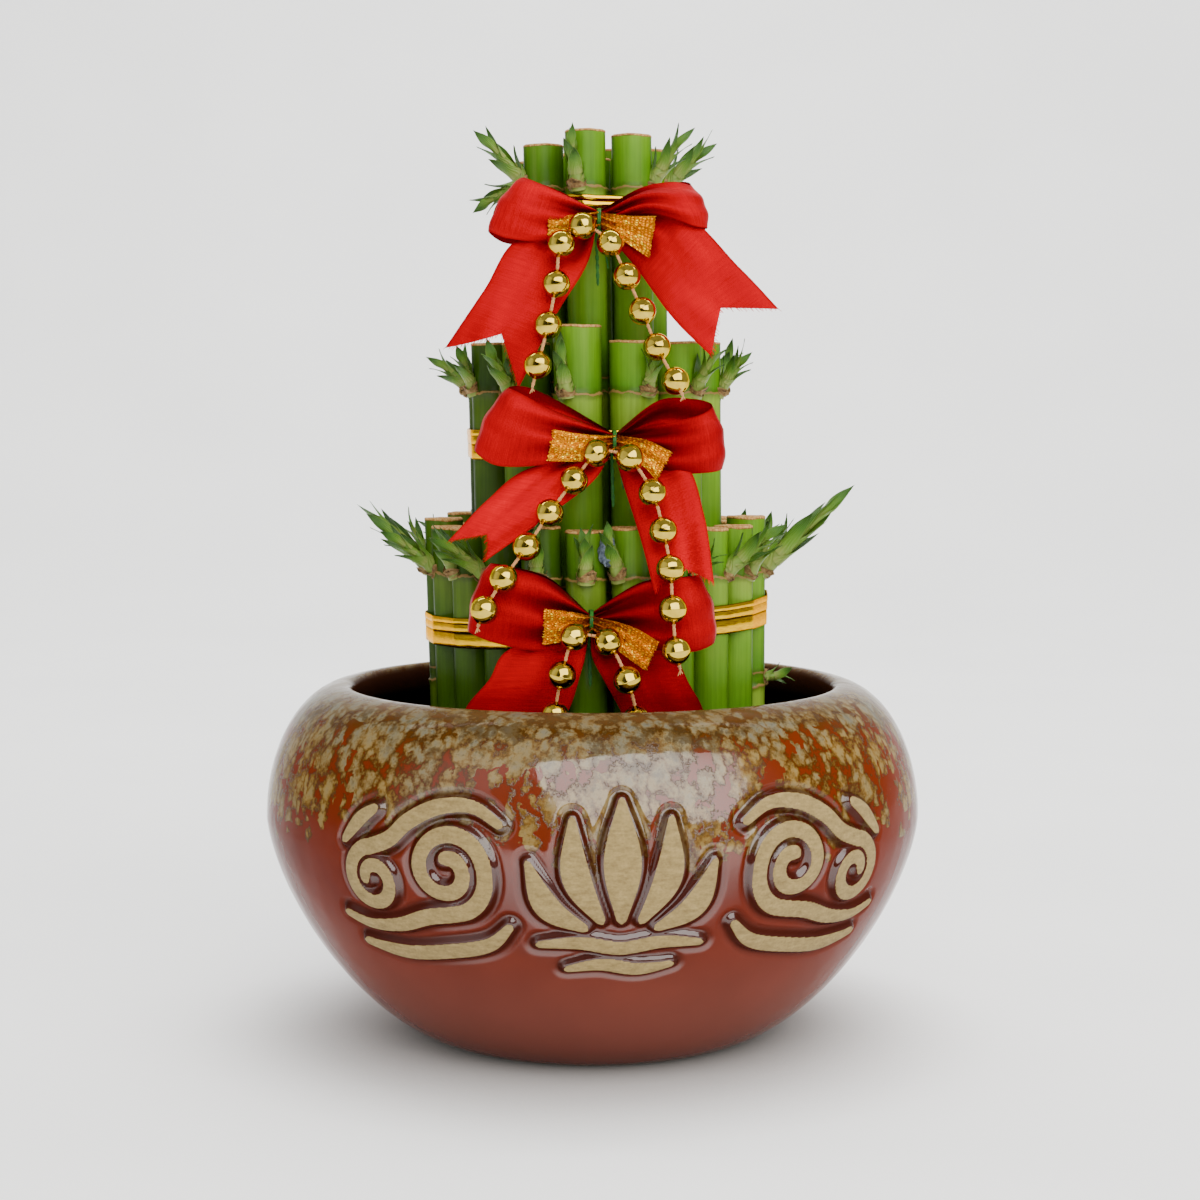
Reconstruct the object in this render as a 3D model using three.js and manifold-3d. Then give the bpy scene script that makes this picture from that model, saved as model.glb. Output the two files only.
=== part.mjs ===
// Lucky bamboo tower in a glazed stoneware bowl. Millimetres, +Z up.
// The origin is the centre of the bowl's flat base, and the front faces -Y.
import * as THREE from "three";
import { mergeVertices } from "three/addons/utils/BufferGeometryUtils.js";
import Module from "manifold-3d";

const wasm = await Module();
wasm.setup();

// Bowl
const BOWL_RADIUS = 100;
const BOWL_HEIGHT = 107.4;
const BOWL_WIDEST_Z = 68;
const BASE_RADIUS = 48;
const CREST_RADIUS = 76;
const OPENING_RADIUS = 73;
const WALL = 9;
const FLOOR_Z = 12;
const FLOOR_RADIUS = 55;
const LOWER_POWER = 1.5;
const UPPER_POWER = 1.95;
const BOWL_FACETS = 32;

// Pebbles that hold the canes upright
const BED_LEVEL = 70;
const BED_HOLE = 54;
const BED_BUMP = 1.3;
const BED_FACETS = 24;

// The whole tower stands a little to the right of the bowl's axis and leans back to the left.
const TOWER_X = 3;
const TOWER_LEAN = -0.014;

// Gap between pieces that touch
const SEAT = 0.35;

// Canes, in three tiers. Angles are in degrees from the front towards +X.
const CANE_BASE_Z = FLOOR_Z + SEAT;
const CANE_SIDES = 8;
const NODE_BULGE = 0.3;
const NODE_SPREAD = 0.6;
const NODE_HALF = 1.5;
const TIERS = {
  top: { count: 7, ring: 16.9, radius: 6, firstAngle: -5, splay: 0, topZ: 269.5, nodeZ: 256.6 },
  middle: { count: 12, ring: 31, radius: 7.1, firstAngle: -8.3, splay: 0.004, topZ: 212, nodeZ: 195.5 },
  outer: { count: 22, ring: 44.75, radius: 5.85, firstAngle: -3.6, splay: 0.012, topZ: 157, nodeZ: 142.3 },
};
const CENTRE_TOP_Z = 266.4;
const HEIGHT_SPREAD = 1.6;

// Canes whose height differs from their tier's
const CUT_HEIGHTS = {
  top: { 1: 273.2, 2: 272.3, 3: 269.3, 6: 266, 7: 269.6 },
  middle: { 1: 215.6, 2: 211.1, 3: 211, 10: 199, 11: 210.7 },
  outer: { 1: 156.4, 2: 157.3, 4: 156.4, 5: 156.6, 6: 158.8, 18: 157.9, 22: 157.5 },
};

// Side shoots that differ from the plain rule: turn is away from straight outwards, lift is above
// level, both in degrees.
const SHOOTS = {
  top: {
    1: { turn: -20, lift: 72, length: 15, leaves: 4 },
    2: { turn: 38, lift: 56, length: 19, leaves: 4 },
    3: { turn: 0, lift: 44, length: 21, leaves: 5 },
    6: { turn: 16, lift: 12, length: 18, leaves: 4 },
    7: { turn: -22, lift: 46, length: 22, leaves: 4 },
  },
  middle: {
    1: { turn: -20, lift: 74, length: 14, leaves: 5 },
    2: { turn: 14, lift: 72, length: 12, leaves: 4 },
    4: { turn: 2, lift: 55, length: 14, leaves: 5 },
    10: { turn: 6, lift: 42, length: 14, leaves: 4 },
    11: { turn: 0, lift: 70, length: 11, leaves: 4 },
  },
  outer: {
    1: { turn: 4, lift: 80, length: 13, leaves: 4 },
    2: { turn: -55, lift: 70, length: 15, leaves: 4 },
    3: { turn: 40, lift: 45, length: 10, leaves: 3 },
    4: { turn: 36, lift: 42, length: 20, leaves: 4 },
    6: { turn: 6, lift: 46, length: 37, leaves: 7 },
    16: { turn: 0, lift: 50, length: 14, leaves: 4 },
    18: { turn: -2, lift: 44, length: 26, leaves: 6 },
    19: { turn: -10, lift: 38, length: 18, leaves: 4 },
    20: { turn: -28, lift: 34, length: 22, leaves: 5 },
    22: { turn: 8, lift: 84, length: 13, leaves: 4 },
  },
};
const PLAIN_SHOOT = { lift: 58, length: 15, leaves: 3 };

// Lower nodes that show above the bowl's rim, and a small leaf that grows from one of them
const LOW_NODES = { outer: { 6: 107.5, 18: 108.5 } };
const LOW_SHOOTS = { outer: { 6: { turn: 14, lift: 8, length: 7, leaves: 2 } } };

const SHOOT_RISE = 2.2;
const SHEATH_RADIUS = 3.6;
const SHEATH_LENGTH = 3.2;
const STEM_TIP_RADIUS = 0.8;
const LEAF_FLATNESS = 0.36;
const LEAF_WIDTH = 7;
const LEAF_WIDEST = 0.35;
const LEAF_SHARE = 0.43;

// Gold bands: height of the middle line, and slope per millimetre of X
const BAND_WIDTH = 9;
const BAND_THICKNESS = 0.6;
const BAND_TURN = 0.15;
const BANDS = {
  top: { z: 249.5, slope: 0 },
  middle: { z: 180.6, slope: 0 },
  bottom: { z: 127.7, slope: 0.054 },
};
const TIER_OF_BAND = { top: "top", middle: "middle", bottom: "outer" };

// Satin ribbon
const RIBBON_WIDTH = 22;
const RIBBON_THICKNESS = 0.8;
const KNOT_WIDTH = 7;
const KNOT_HALF = [4.2, 2.6, 5];
const GATHER_LENGTH = 13;
const LOOP_ROUNDING = 2.5;

// Beads and their thread
const BEAD_RADIUS = 4;
const THREAD_RADIUS = 0.6;
const THREAD_SIDES = 8;

// Bows. Points are [x, y, z]. A loop ends in a fold between two corners. A tail ends in two tips
// with a notch between them.
const BOWS = {
  top: {
    knot: [1.4, -28.4, 245.4],
    loops: [
      { corners: [[-31, -29, 239], [-21.5, -29, 258.5]], front: 4, back: 3 },
      { corners: [[34, -29, 238.5], [27, -29, 258]], front: 4.5, back: 3 },
    ],
    tails: [
      { tips: [[-42.5, -35, 209.1], [-21.3, -42.5, 197.2]], notch: 11, belly: 1.4, sway: -2 },
      { tips: [[54.3, -35, 220.1], [34.3, -40, 206.7]], notch: 8, belly: 2, sway: 1.5 },
    ],
    meshEnds: [
      { corners: [[-12.5, -33.5, 247.2], [-12.5, -33.5, 236.2]] },
      { corners: [[17.7, -34, 247], [16.8, -34, 235.7]] },
    ],
    strands: [
      [
        [-2.9, -37.3, 243.7], [-8.9, -39, 238.5], [-10.3, -41, 227], [-12.6, -43.5, 215.2],
        [-15.4, -46.5, 203.7],
      ],
      [
        [5.3, -37.8, 238.8], [10, -40, 229.2], [14.4, -42.5, 219.2], [18.6, -45, 208.9],
        [23.8, -48.5, 199.2],
      ],
    ],
    threadEnds: [[-17.1, -47, 197.2], [25.8, -52.5, 195]],
    tieY: -25.1,
  },
  middle: {
    knot: [6, -44.3, 182.3],
    loops: [
      { corners: [[-35, -45.5, 176], [-25, -45.5, 198]], front: 4, back: 3 },
      { corners: [[37.8, -45.5, 173.7], [33.2, -45.5, 196]], front: 4.5, back: 3 },
    ],
    tails: [
      { tips: [[-41.3, -50, 154], [-29.8, -54, 147.8]], notch: 7, belly: 1, sway: -2 },
      { tips: [[35, -62.5, 141.8], [17.6, -62.8, 139.7]], notch: 6, belly: 0.5, sway: 7 },
    ],
    meshEnds: [
      { corners: [[-12.9, -49.5, 186], [-12.9, -49.5, 176.4]] },
      { corners: [[23.2, -52.5, 179.6], [19.3, -54, 171.6]] },
    ],
    strands: [
      [
        [1.2, -53.2, 178.7], [-5.1, -55, 171], [-11.9, -58, 162], [-18.3, -61, 152.6],
        [-24.7, -64, 143.8], [-30, -66.5, 135.2],
      ],
      [
        [10.8, -55.8, 177.4], [17.1, -59.2, 167.7], [20.1, -62.3, 157.1], [22, -65.8, 146.7],
        [22.6, -67.5, 135.4], [23.6, -68, 123.9],
      ],
    ],
    threadEnds: [[-32, -66.5, 130.2], [24.8, -67.5, 118.4]],
    tieY: -40.9,
  },
  bottom: {
    knot: [-0.3, -57.6, 130.1],
    loops: [
      { corners: [[-35, -56, 123.4], [-30.5, -56, 147.2]], front: 4, back: 3 },
      { corners: [[35.6, -56.5, 121.4], [31.8, -56.5, 145]], front: 4, back: 3 },
    ],
    tails: [
      { tips: [[-40, -50, 92], [-17, -57, 87]], notch: 8, belly: 0 },
      { tips: [[17.5, -57, 87], [37, -50, 92]], notch: 8, belly: 0 },
    ],
    meshEnds: [
      { corners: [[-14.6, -62.5, 135], [-14.6, -62.5, 124.7]] },
      { corners: [[18.8, -63.5, 127.2], [15.8, -63.5, 117.2]] },
    ],
    strands: [
      [
        [-5, -66.4, 127.6], [-8.4, -66.5, 116.8], [-10.4, -65.2, 105.3], [-10.9, -62.6, 93.5],
        [-11, -60.5, 81.8],
      ],
      [
        [4.6, -66.6, 126.2], [10, -67, 115.5], [12.7, -65.2, 104.2], [12.9, -62.6, 92.4],
        [13, -60.5, 81],
      ],
    ],
    threadEnds: [[-11, -60, 76], [13, -60, 75]],
    tieY: -54.2,
  },
};
const TIE_THICKNESS = 1.1;
const TIE_WIDTH = 3;
const TIE_TOP = 4;
const TIE_TAIL = 17;

// Colours and finishes
const FINISHES = {
  bowl: { color: 0x7d2c1f, roughness: 0.25, metalness: 0 },
  pebbles: { color: 0x3a342f, roughness: 0.5, metalness: 0 },
  cane: { color: 0x6fa02c, roughness: 0.4, metalness: 0 },
  band: { color: 0xe0a818, roughness: 0.2, metalness: 0.9 },
  satin: { color: 0xd20a0a, roughness: 0.35, metalness: 0 },
  mesh: { color: 0xc98712, roughness: 0.4, metalness: 0.7 },
  beads: { color: 0xcda849, roughness: 0.15, metalness: 1 },
  tie: { color: 0x2f6b26, roughness: 0.5, metalness: 0 },
};

const part = new THREE.Group();

// A repeatable number from 0 to 1 for a given pair of whole numbers
function chance(index, stream) {
  const wave = Math.sin(index * 12.9898 + stream * 78.233) * 43758.5453;
  return wave - Math.floor(wave);
}

const radians = (degrees) => (degrees * Math.PI) / 180;
const towerX = (z) => TOWER_X + TOWER_LEAN * (z - CANE_BASE_Z);
const smooth = (x) => THREE.MathUtils.smoothstep(x, 0, 1);

// A closed geometry as a solid, turned right side out
function solid(geometry) {
  const bare = geometry.clone();
  bare.deleteAttribute("normal");
  bare.deleteAttribute("uv");
  const merged = mergeVertices(bare, 1e-4);
  const shape = {
    numProp: 3,
    vertProperties: new Float32Array(merged.attributes.position.array),
    triVerts: new Uint32Array(merged.index.array),
  };
  const made = new wasm.Manifold(new wasm.Mesh(shape));
  if (made.volume() > 0) return made;
  shape.triVerts.reverse();
  return new wasm.Manifold(new wasm.Mesh(shape));
}

// A solid as a geometry again
function geometryOf(body) {
  const mesh = body.getMesh();
  const geometry = new THREE.BufferGeometry();
  const points = new Float32Array(mesh.numVert * 3);
  for (let i = 0; i < mesh.numVert; i++) {
    points.set(mesh.vertProperties.subarray(i * mesh.numProp, i * mesh.numProp + 3), i * 3);
  }
  geometry.setAttribute("position", new THREE.BufferAttribute(points, 3));
  geometry.setIndex(new THREE.BufferAttribute(mesh.triVerts, 1));
  geometry.computeVertexNormals();
  return geometry;
}

const fused = (bodies) => bodies.reduce((sum, body) => sum.add(body));

function addPiece(name, body, finish) {
  const mesh = new THREE.Mesh(geometryOf(body), new THREE.MeshStandardMaterial(FINISHES[finish]));
  mesh.name = name;
  part.add(mesh);
}

// Moves every point of a geometry by a rule that takes and returns [x, y, z]
function reshaped(geometry, rule) {
  const position = geometry.attributes.position;
  for (let i = 0; i < position.count; i++) {
    position.setXYZ(i, ...rule(position.getX(i), position.getY(i), position.getZ(i)));
  }
  return geometry;
}

// A turned solid about the Z axis from [radius, height] points
function turned(profile, facets) {
  const points = profile.map(([radius, height]) => new THREE.Vector2(radius, height));
  return new THREE.LatheGeometry(points, facets).rotateX(Math.PI / 2);
}

// A quarter of a superellipse from (r0, z0) to (r1, z1). With bulge "low" it leaves r0 level, and
// with bulge "high" it ends level.
function quarter(r0, z0, r1, z1, power, steps, bulge) {
  const points = [];
  for (let i = 0; i <= steps; i++) {
    const angle = (Math.PI / 2) * (i / steps);
    const rising = Math.sin(angle) ** (2 / power);
    const falling = 1 - Math.cos(angle) ** (2 / power);
    const [across, up] = bulge === "low" ? [rising, falling] : [falling, rising];
    points.push([r0 + (r1 - r0) * across, z0 + (z1 - z0) * up]);
  }
  return points;
}

const innerLower = quarter(
  FLOOR_RADIUS, FLOOR_Z, BOWL_RADIUS - WALL, BOWL_WIDEST_Z, LOWER_POWER, 4, "low");

function makeBowl() {
  const outerLower = quarter(BASE_RADIUS, 0, BOWL_RADIUS, BOWL_WIDEST_Z, LOWER_POWER, 7, "low");
  const outerUpper = quarter(
    BOWL_RADIUS, BOWL_WIDEST_Z, CREST_RADIUS, BOWL_HEIGHT, UPPER_POWER, 5, "high");
  const lip = [
    [OPENING_RADIUS + 0.8, BOWL_HEIGHT - 1],
    [OPENING_RADIUS, BOWL_HEIGHT - 3.5],
    [OPENING_RADIUS, BOWL_HEIGHT - 7],
  ];
  const innerUpper = quarter(
    BOWL_RADIUS - WALL, BOWL_WIDEST_Z, OPENING_RADIUS + 1.5, BOWL_HEIGHT - WALL, UPPER_POWER, 3, "high");
  const profile = [
    [0, 0], ...outerLower, ...outerUpper.slice(1), ...lip, ...innerUpper.reverse(),
    ...innerLower.slice(0, -1).reverse(), [0, FLOOR_Z],
  ];
  addPiece("bowl", solid(turned(profile, BOWL_FACETS)), "bowl");
}

// Inner wall radius at a height below the widest line
function innerRadius(z) {
  const above = innerLower.findIndex(([, height]) => height >= z);
  const [r0, z0] = innerLower[above - 1];
  const [r1, z1] = innerLower[above];
  return r0 + ((r1 - r0) * (z - z0)) / (z1 - z0);
}

function makeBed() {
  const levels = [FLOOR_Z + SEAT, 22, 40, BOWL_WIDEST_Z - 1];
  const wall = levels.map((z) => [innerRadius(z) - SEAT - 0.3, z]);
  const outermost = wall[wall.length - 1][0];
  const surface = [0, 0.33, 0.67, 1].map((share) => [
    outermost + (BED_HOLE - outermost) * share,
    BED_LEVEL + 4 * share,
  ]);
  const profile = [[BED_HOLE, FLOOR_Z + SEAT], ...wall, ...surface, [BED_HOLE, FLOOR_Z + SEAT]];
  const geometry = reshaped(turned(profile, BED_FACETS), (x, y, z) => {
    const nearHole = Math.hypot(x, y) < BED_HOLE + 0.1;
    const bump = z > BED_LEVEL - 0.1 ? BED_BUMP * Math.sin(1.1 * x) * Math.cos(1.3 * y) : 0;
    return [nearHole ? x + towerX(z) : x, y, z + bump];
  });
  addPiece("pebble_bed", solid(geometry), "pebbles");
}

function caneSolid(tier, nodes, cutZ) {
  const { radius } = tier;
  const profile = [[0, CANE_BASE_Z], [radius, CANE_BASE_Z]];
  for (const z of nodes.slice().reverse()) {
    profile.push([radius, z - NODE_HALF], [radius + NODE_BULGE, z], [radius, z + NODE_HALF]);
  }
  profile.push([radius, cutZ], [0, cutZ]);
  return solid(turned(profile, CANE_SIDES));
}

// A pointed blade along +Z from a pointed root, its face towards +Y, flaring at the tip
function leaf(length, width, flare) {
  const profile = [[0, 0], [width / 2, LEAF_WIDEST * length], [0, length]];
  const blade = turned(profile, 4).scale(1, LEAF_FLATNESS, 1);
  return reshaped(blade, (x, y, z) => [x, y + (flare * z * z) / length, z]);
}

// Overlapping leaves in two rows on a short stem, along +Z from the origin
function shootSolids({ length, leaves }) {
  const stem = 0.58 * length;
  const thick = Math.min(SHEATH_RADIUS, 2 + 0.06 * length);
  const whole = SHEATH_LENGTH + stem;
  const radiusAt = (z) => thick - ((thick - STEM_TIP_RADIUS) * (z + SHEATH_LENGTH)) / whole;
  const core = new THREE.CylinderGeometry(STEM_TIP_RADIUS, thick, whole, 4)
    .rotateX(Math.PI / 2)
    .translate(0, 0, whole / 2 - SHEATH_LENGTH);
  const bodies = [solid(core)];
  for (let i = 0; i < leaves; i++) {
    const start = (stem * i) / leaves;
    const blade = leaf(
      LEAF_SHARE * length + 1,
      LEAF_WIDTH * (0.75 + length / 90) * (1 - 0.06 * i),
      0.45 - 0.04 * i,
    );
    blade.translate(0, 0.7 * radiusAt(start) - 0.2, 0);
    blade.rotateZ(Math.PI * i + 0.5 * (i % 3));
    blade.translate(0, 0, start);
    bodies.push(solid(blade));
  }
  return bodies;
}

// A shoot's own frame, upright along its stem, where it leaves the cane just above a node
function shootPlacement(tier, angle, nodeZ, shoot) {
  const heading = radians(angle + shoot.turn);
  const outward = new THREE.Vector3(Math.sin(heading), -Math.cos(heading), 0);
  const along = outward.clone().multiplyScalar(Math.cos(radians(shoot.lift)));
  along.z = Math.sin(radians(shoot.lift));
  const side = new THREE.Vector3(0, 0, 1).cross(outward).normalize();
  const up = new THREE.Vector3().crossVectors(along, side);
  const foot = outward.clone().multiplyScalar(tier.radius + 0.4);
  foot.z = nodeZ + SHOOT_RISE;
  return new THREE.Matrix4().makeBasis(side, up, along).setPosition(foot);
}

// One cane with its shoots. Each shoot is listed with the height of the node that it grows from.
function makeCane(name, tier, angle, ring, nodes, cutZ, shoots) {
  const bodies = [caneSolid(tier, nodes, cutZ)];
  for (const [nodeZ, shoot] of shoots) {
    const placement = shootPlacement(tier, angle, nodeZ, shoot).elements;
    for (const body of shootSolids(shoot)) bodies.push(body.transform(placement));
  }
  const outX = Math.sin(radians(angle));
  const outY = -Math.cos(radians(angle));
  const leanX = TOWER_LEAN + tier.splay * outX;
  const leanY = tier.splay * outY;
  const stood = reshaped(geometryOf(fused(bodies)), (x, y, z) => [
    x + TOWER_X + ring * outX + leanX * (z - CANE_BASE_Z),
    y + ring * outY + leanY * (z - CANE_BASE_Z),
    z,
  ]);
  addPiece(name, solid(stood), "cane");
}

function makeTier(tierName) {
  const tier = TIERS[tierName];
  for (let number = 1; number <= tier.count; number++) {
    const spread = (stream) => 2 * chance(number, tier.count + stream) - 1;
    const cutZ = CUT_HEIGHTS[tierName][number] ?? tier.topZ + HEIGHT_SPREAD * spread(0);
    const nodes = [tier.nodeZ + NODE_SPREAD * spread(2)];
    const plain = { ...PLAIN_SHOOT, turn: 15 * spread(1) };
    const shoots = [[nodes[0], SHOOTS[tierName][number] ?? plain]];
    const lowNode = LOW_NODES[tierName]?.[number];
    const lowShoot = LOW_SHOOTS[tierName]?.[number];
    if (lowNode) nodes.push(lowNode);
    if (lowShoot) shoots.push([lowNode, lowShoot]);
    const angle = tier.firstAngle + (360 * (number - 1)) / tier.count;
    makeCane(`cane_${tierName}_${number}`, tier, angle, tier.ring, nodes, cutZ, shoots);
  }
}

// Convex outline round a list of [x, y] points
function outlineRound(points) {
  const sorted = points.slice().sort((a, b) => a[0] - b[0] || a[1] - b[1]);
  const turn = (a, b, c) => (b[0] - a[0]) * (c[1] - a[1]) - (b[1] - a[1]) * (c[0] - a[0]);
  const half = (list) => {
    const chain = [];
    for (const point of list) {
      while (chain.length > 1 && turn(chain[chain.length - 2], chain[chain.length - 1], point) <= 0) {
        chain.pop();
      }
      chain.push(point);
    }
    return chain.slice(0, -1);
  };
  return [...half(sorted), ...half(sorted.reverse())];
}

// The line of a band stretched round a tier's canes at height z
function bandLine(tier, z, clearance) {
  const points = [];
  for (let i = 0; i < tier.count; i++) {
    const angle = radians(tier.firstAngle + (360 * i) / tier.count);
    const reach = tier.ring + tier.splay * (z - CANE_BASE_Z);
    for (const swing of [-BAND_TURN, BAND_TURN]) {
      points.push([
        towerX(z) + reach * Math.sin(angle) + (tier.radius + clearance) * Math.sin(angle + swing),
        -reach * Math.cos(angle) - (tier.radius + clearance) * Math.cos(angle + swing),
      ]);
    }
  }
  return outlineRound(points).map(([x, y]) => new THREE.Vector2(x, y));
}

function makeBand(name) {
  const { z, slope } = BANDS[name];
  const tier = TIERS[TIER_OF_BAND[name]];
  const shape = new THREE.Shape(bandLine(tier, z, SEAT + BAND_THICKNESS));
  shape.holes.push(new THREE.Path(bandLine(tier, z, SEAT)));
  const strip = new THREE.ExtrudeGeometry(shape, { depth: BAND_WIDTH, steps: 1, bevelEnabled: false });
  const placed = reshaped(strip, (x, y, h) => [x, y, z + h - BAND_WIDTH / 2 + slope * x]);
  addPiece(`gold_band_${name}`, solid(placed), "band");
}

// The outline of a strip of even thickness along a line of [s, n] points
function stripOutline(line, thickness) {
  const sides = [[], []];
  line.forEach(([s, n], i) => {
    const [s0, n0] = line[Math.max(i - 1, 0)];
    const [s1, n1] = line[Math.min(i + 1, line.length - 1)];
    const size = Math.hypot(s1 - s0, n1 - n0);
    const across = [(-(n1 - n0) / size) * (thickness / 2), ((s1 - s0) / size) * (thickness / 2)];
    sides[0].push(new THREE.Vector2(s + across[0], n + across[1]));
    sides[1].push(new THREE.Vector2(s - across[0], n - across[1]));
  });
  return new THREE.Shape([...sides[0], ...sides[1].reverse()]);
}

// A ribbon's width near the knot, as a share of its full width
const gathered = (s, full) => (KNOT_WIDTH + (full - KNOT_WIDTH) * smooth(s / GATHER_LENGTH)) / full;

const vector = (point) => new THREE.Vector3(...point);

// Places strip points: s runs from the knot to the far edge, t across the ribbon, n towards the front
function strip(line, thickness, knot, corners, width, notch, sway = 0) {
  const steps = notch ? 2 : 1;
  const shape = stripOutline(line, thickness);
  const geometry = new THREE.ExtrudeGeometry(shape, { depth: 1, steps, bevelEnabled: false });
  const start = vector(knot);
  const [first, second] = corners.map(vector);
  const end = first.clone().add(second).multiplyScalar(0.5);
  const edge = second.clone().sub(first);
  const run = end.clone().sub(start);
  const length = run.length();
  return reshaped(geometry, (s, n, t) => {
    const back = notch * (1 - Math.abs(2 * t - 1)) * Math.max(0, s / length) ** 3;
    const share = (s - back) / length;
    const point = start.clone().addScaledVector(run, share);
    point.addScaledVector(edge, (t - 0.5) * gathered(s, width));
    point.x += sway * Math.sin(Math.PI * THREE.MathUtils.clamp(share, 0, 1));
    return [point.x, point.y - n, point.z];
  });
}

function loopLine(length, front, back) {
  const line = [];
  const steps = 8;
  for (let i = 0; i <= steps; i++) {
    const turn = 0.35 + (2 * Math.PI - 0.7) * (i / steps);
    const height = turn < Math.PI ? front : back;
    line.push([(length * (1 - Math.cos(turn))) / 2, height * Math.sin(turn) * Math.sin(turn / 2) ** 0.5]);
  }
  return line;
}

function tailLine(length, belly) {
  const line = [];
  const steps = 4;
  for (let i = 0; i <= steps; i++) {
    line.push([(length * i) / steps, belly * Math.sin((Math.PI * i) / steps)]);
  }
  return line;
}

function lengthTo(knot, corners) {
  const [first, second] = corners.map(vector);
  return first.add(second).multiplyScalar(0.5).distanceTo(vector(knot));
}

function makeBow(name) {
  const { knot, loops, tails } = BOWS[name];
  const centre = new THREE.SphereGeometry(1, 6, 4).scale(...KNOT_HALF).translate(...knot);
  const bodies = [solid(centre)];
  for (const { corners, front, back } of loops) {
    const line = loopLine(lengthTo(knot, corners), front, back);
    bodies.push(solid(strip(line, RIBBON_THICKNESS, knot, corners, RIBBON_WIDTH, -LOOP_ROUNDING)));
  }
  for (const { tips, notch, belly, sway } of tails) {
    const line = tailLine(lengthTo(knot, tips), belly);
    bodies.push(solid(strip(line, RIBBON_THICKNESS, knot, tips, RIBBON_WIDTH, notch, sway)));
  }
  addPiece(`satin_bow_${name}`, fused(bodies), "satin");
}

// A short gold mesh ribbon laid across the front of the knot
function makeMeshRibbon(name) {
  const { knot, meshEnds } = BOWS[name];
  const middle = [knot[0], knot[1] - KNOT_HALF[1] - SEAT - RIBBON_THICKNESS / 2, knot[2]];
  const centre = new THREE.BoxGeometry(4, RIBBON_THICKNESS, KNOT_WIDTH).translate(...middle);
  const bodies = [solid(centre)];
  for (const { corners } of meshEnds) {
    const line = tailLine(lengthTo(middle, corners), 0);
    bodies.push(solid(strip(line, RIBBON_THICKNESS, middle, corners, RIBBON_WIDTH / 2, 0)));
  }
  addPiece(`mesh_ribbon_${name}`, fused(bodies), "mesh");
}

// Beads threaded on one string that hangs down on both sides of the knot
function makeBeadStrand(name) {
  const { strands, threadEnds } = BOWS[name];
  const [left, right] = strands;
  const beads = [...left.slice().reverse(), ...right];
  const route = [threadEnds[0], ...beads, threadEnds[1]].map(vector);
  const section = new THREE.Shape(
    Array.from({ length: THREAD_SIDES }, (_, i) => {
      const turn = (2 * Math.PI * i) / THREAD_SIDES;
      return new THREE.Vector2(THREAD_RADIUS * Math.cos(turn), THREAD_RADIUS * Math.sin(turn));
    }),
  );
  const thread = new THREE.ExtrudeGeometry(section, {
    steps: route.length, bevelEnabled: false, extrudePath: new THREE.CatmullRomCurve3(route),
  });
  const bodies = [solid(thread)];
  for (const bead of beads) {
    bodies.push(solid(new THREE.SphereGeometry(BEAD_RADIUS, 6, 4).translate(...bead)));
  }
  addPiece(`bead_strand_${name}`, fused(bodies), "beads");
}

// Green wire tie between the band and the knot, with its twisted end hanging down
function makeTie(name) {
  const { knot, tieY } = BOWS[name];
  const plate = new THREE.BoxGeometry(TIE_WIDTH, TIE_THICKNESS, TIE_TOP + TIE_TAIL, 1, 1, 6);
  const middleZ = knot[2] + (TIE_TOP - TIE_TAIL) / 2;
  const twisted = reshaped(plate.translate(0, 0, middleZ), (x, y, z) => {
    const drop = Math.max(0, knot[2] - 5 - z);
    return [x * (1 - 0.03 * drop) + knot[0] + 0.12 * drop, y + tieY, z];
  });
  addPiece(`wire_tie_${name}`, solid(twisted), "tie");
}

makeBowl();
makeBed();
Object.keys(TIERS).forEach(makeTier);
makeCane("cane_top_centre", TIERS.top, 0, 0, [TIERS.top.nodeZ], CENTRE_TOP_Z, []);
for (const name of Object.keys(BANDS)) {
  makeBand(name);
  makeBow(name);
  makeMeshRibbon(name);
  makeBeadStrand(name);
  makeTie(name);
}

export default part;
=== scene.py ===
"""Visual model of a lucky bamboo tower in its bowl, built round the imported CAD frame.

Lengths in the tables are in millimetres and turn into metres when a mesh is made. The front
faces -Y. Angles of canes are in degrees from the front towards +X.
"""

import math

import bpy
import numpy as np
from bpy.props import FloatProperty, IntProperty, PointerProperty
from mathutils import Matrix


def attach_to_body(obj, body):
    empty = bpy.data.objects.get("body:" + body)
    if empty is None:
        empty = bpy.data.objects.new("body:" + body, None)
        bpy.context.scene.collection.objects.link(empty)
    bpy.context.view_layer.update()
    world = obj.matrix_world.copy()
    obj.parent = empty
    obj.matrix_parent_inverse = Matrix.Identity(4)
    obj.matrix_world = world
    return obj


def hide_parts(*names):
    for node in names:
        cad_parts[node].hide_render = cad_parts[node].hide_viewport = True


bl_info = {
    "name": "Lucky bamboo tower",
    "version": (1, 0, 0),
    "blender": (4, 5, 0),
    "location": "View3D > Sidebar > Bamboo",
    "description": "Builds a lucky bamboo tower with bows and beads in a glazed bowl",
    "category": "Object",
}

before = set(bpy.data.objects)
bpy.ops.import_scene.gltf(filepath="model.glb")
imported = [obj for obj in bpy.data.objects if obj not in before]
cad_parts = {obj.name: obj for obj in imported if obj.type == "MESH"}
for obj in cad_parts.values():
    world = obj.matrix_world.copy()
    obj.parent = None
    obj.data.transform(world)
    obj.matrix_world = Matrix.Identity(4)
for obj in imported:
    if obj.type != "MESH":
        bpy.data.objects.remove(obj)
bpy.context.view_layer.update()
BODY = "root"
MM = 0.001
SIDES = ("left", "right")

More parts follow.
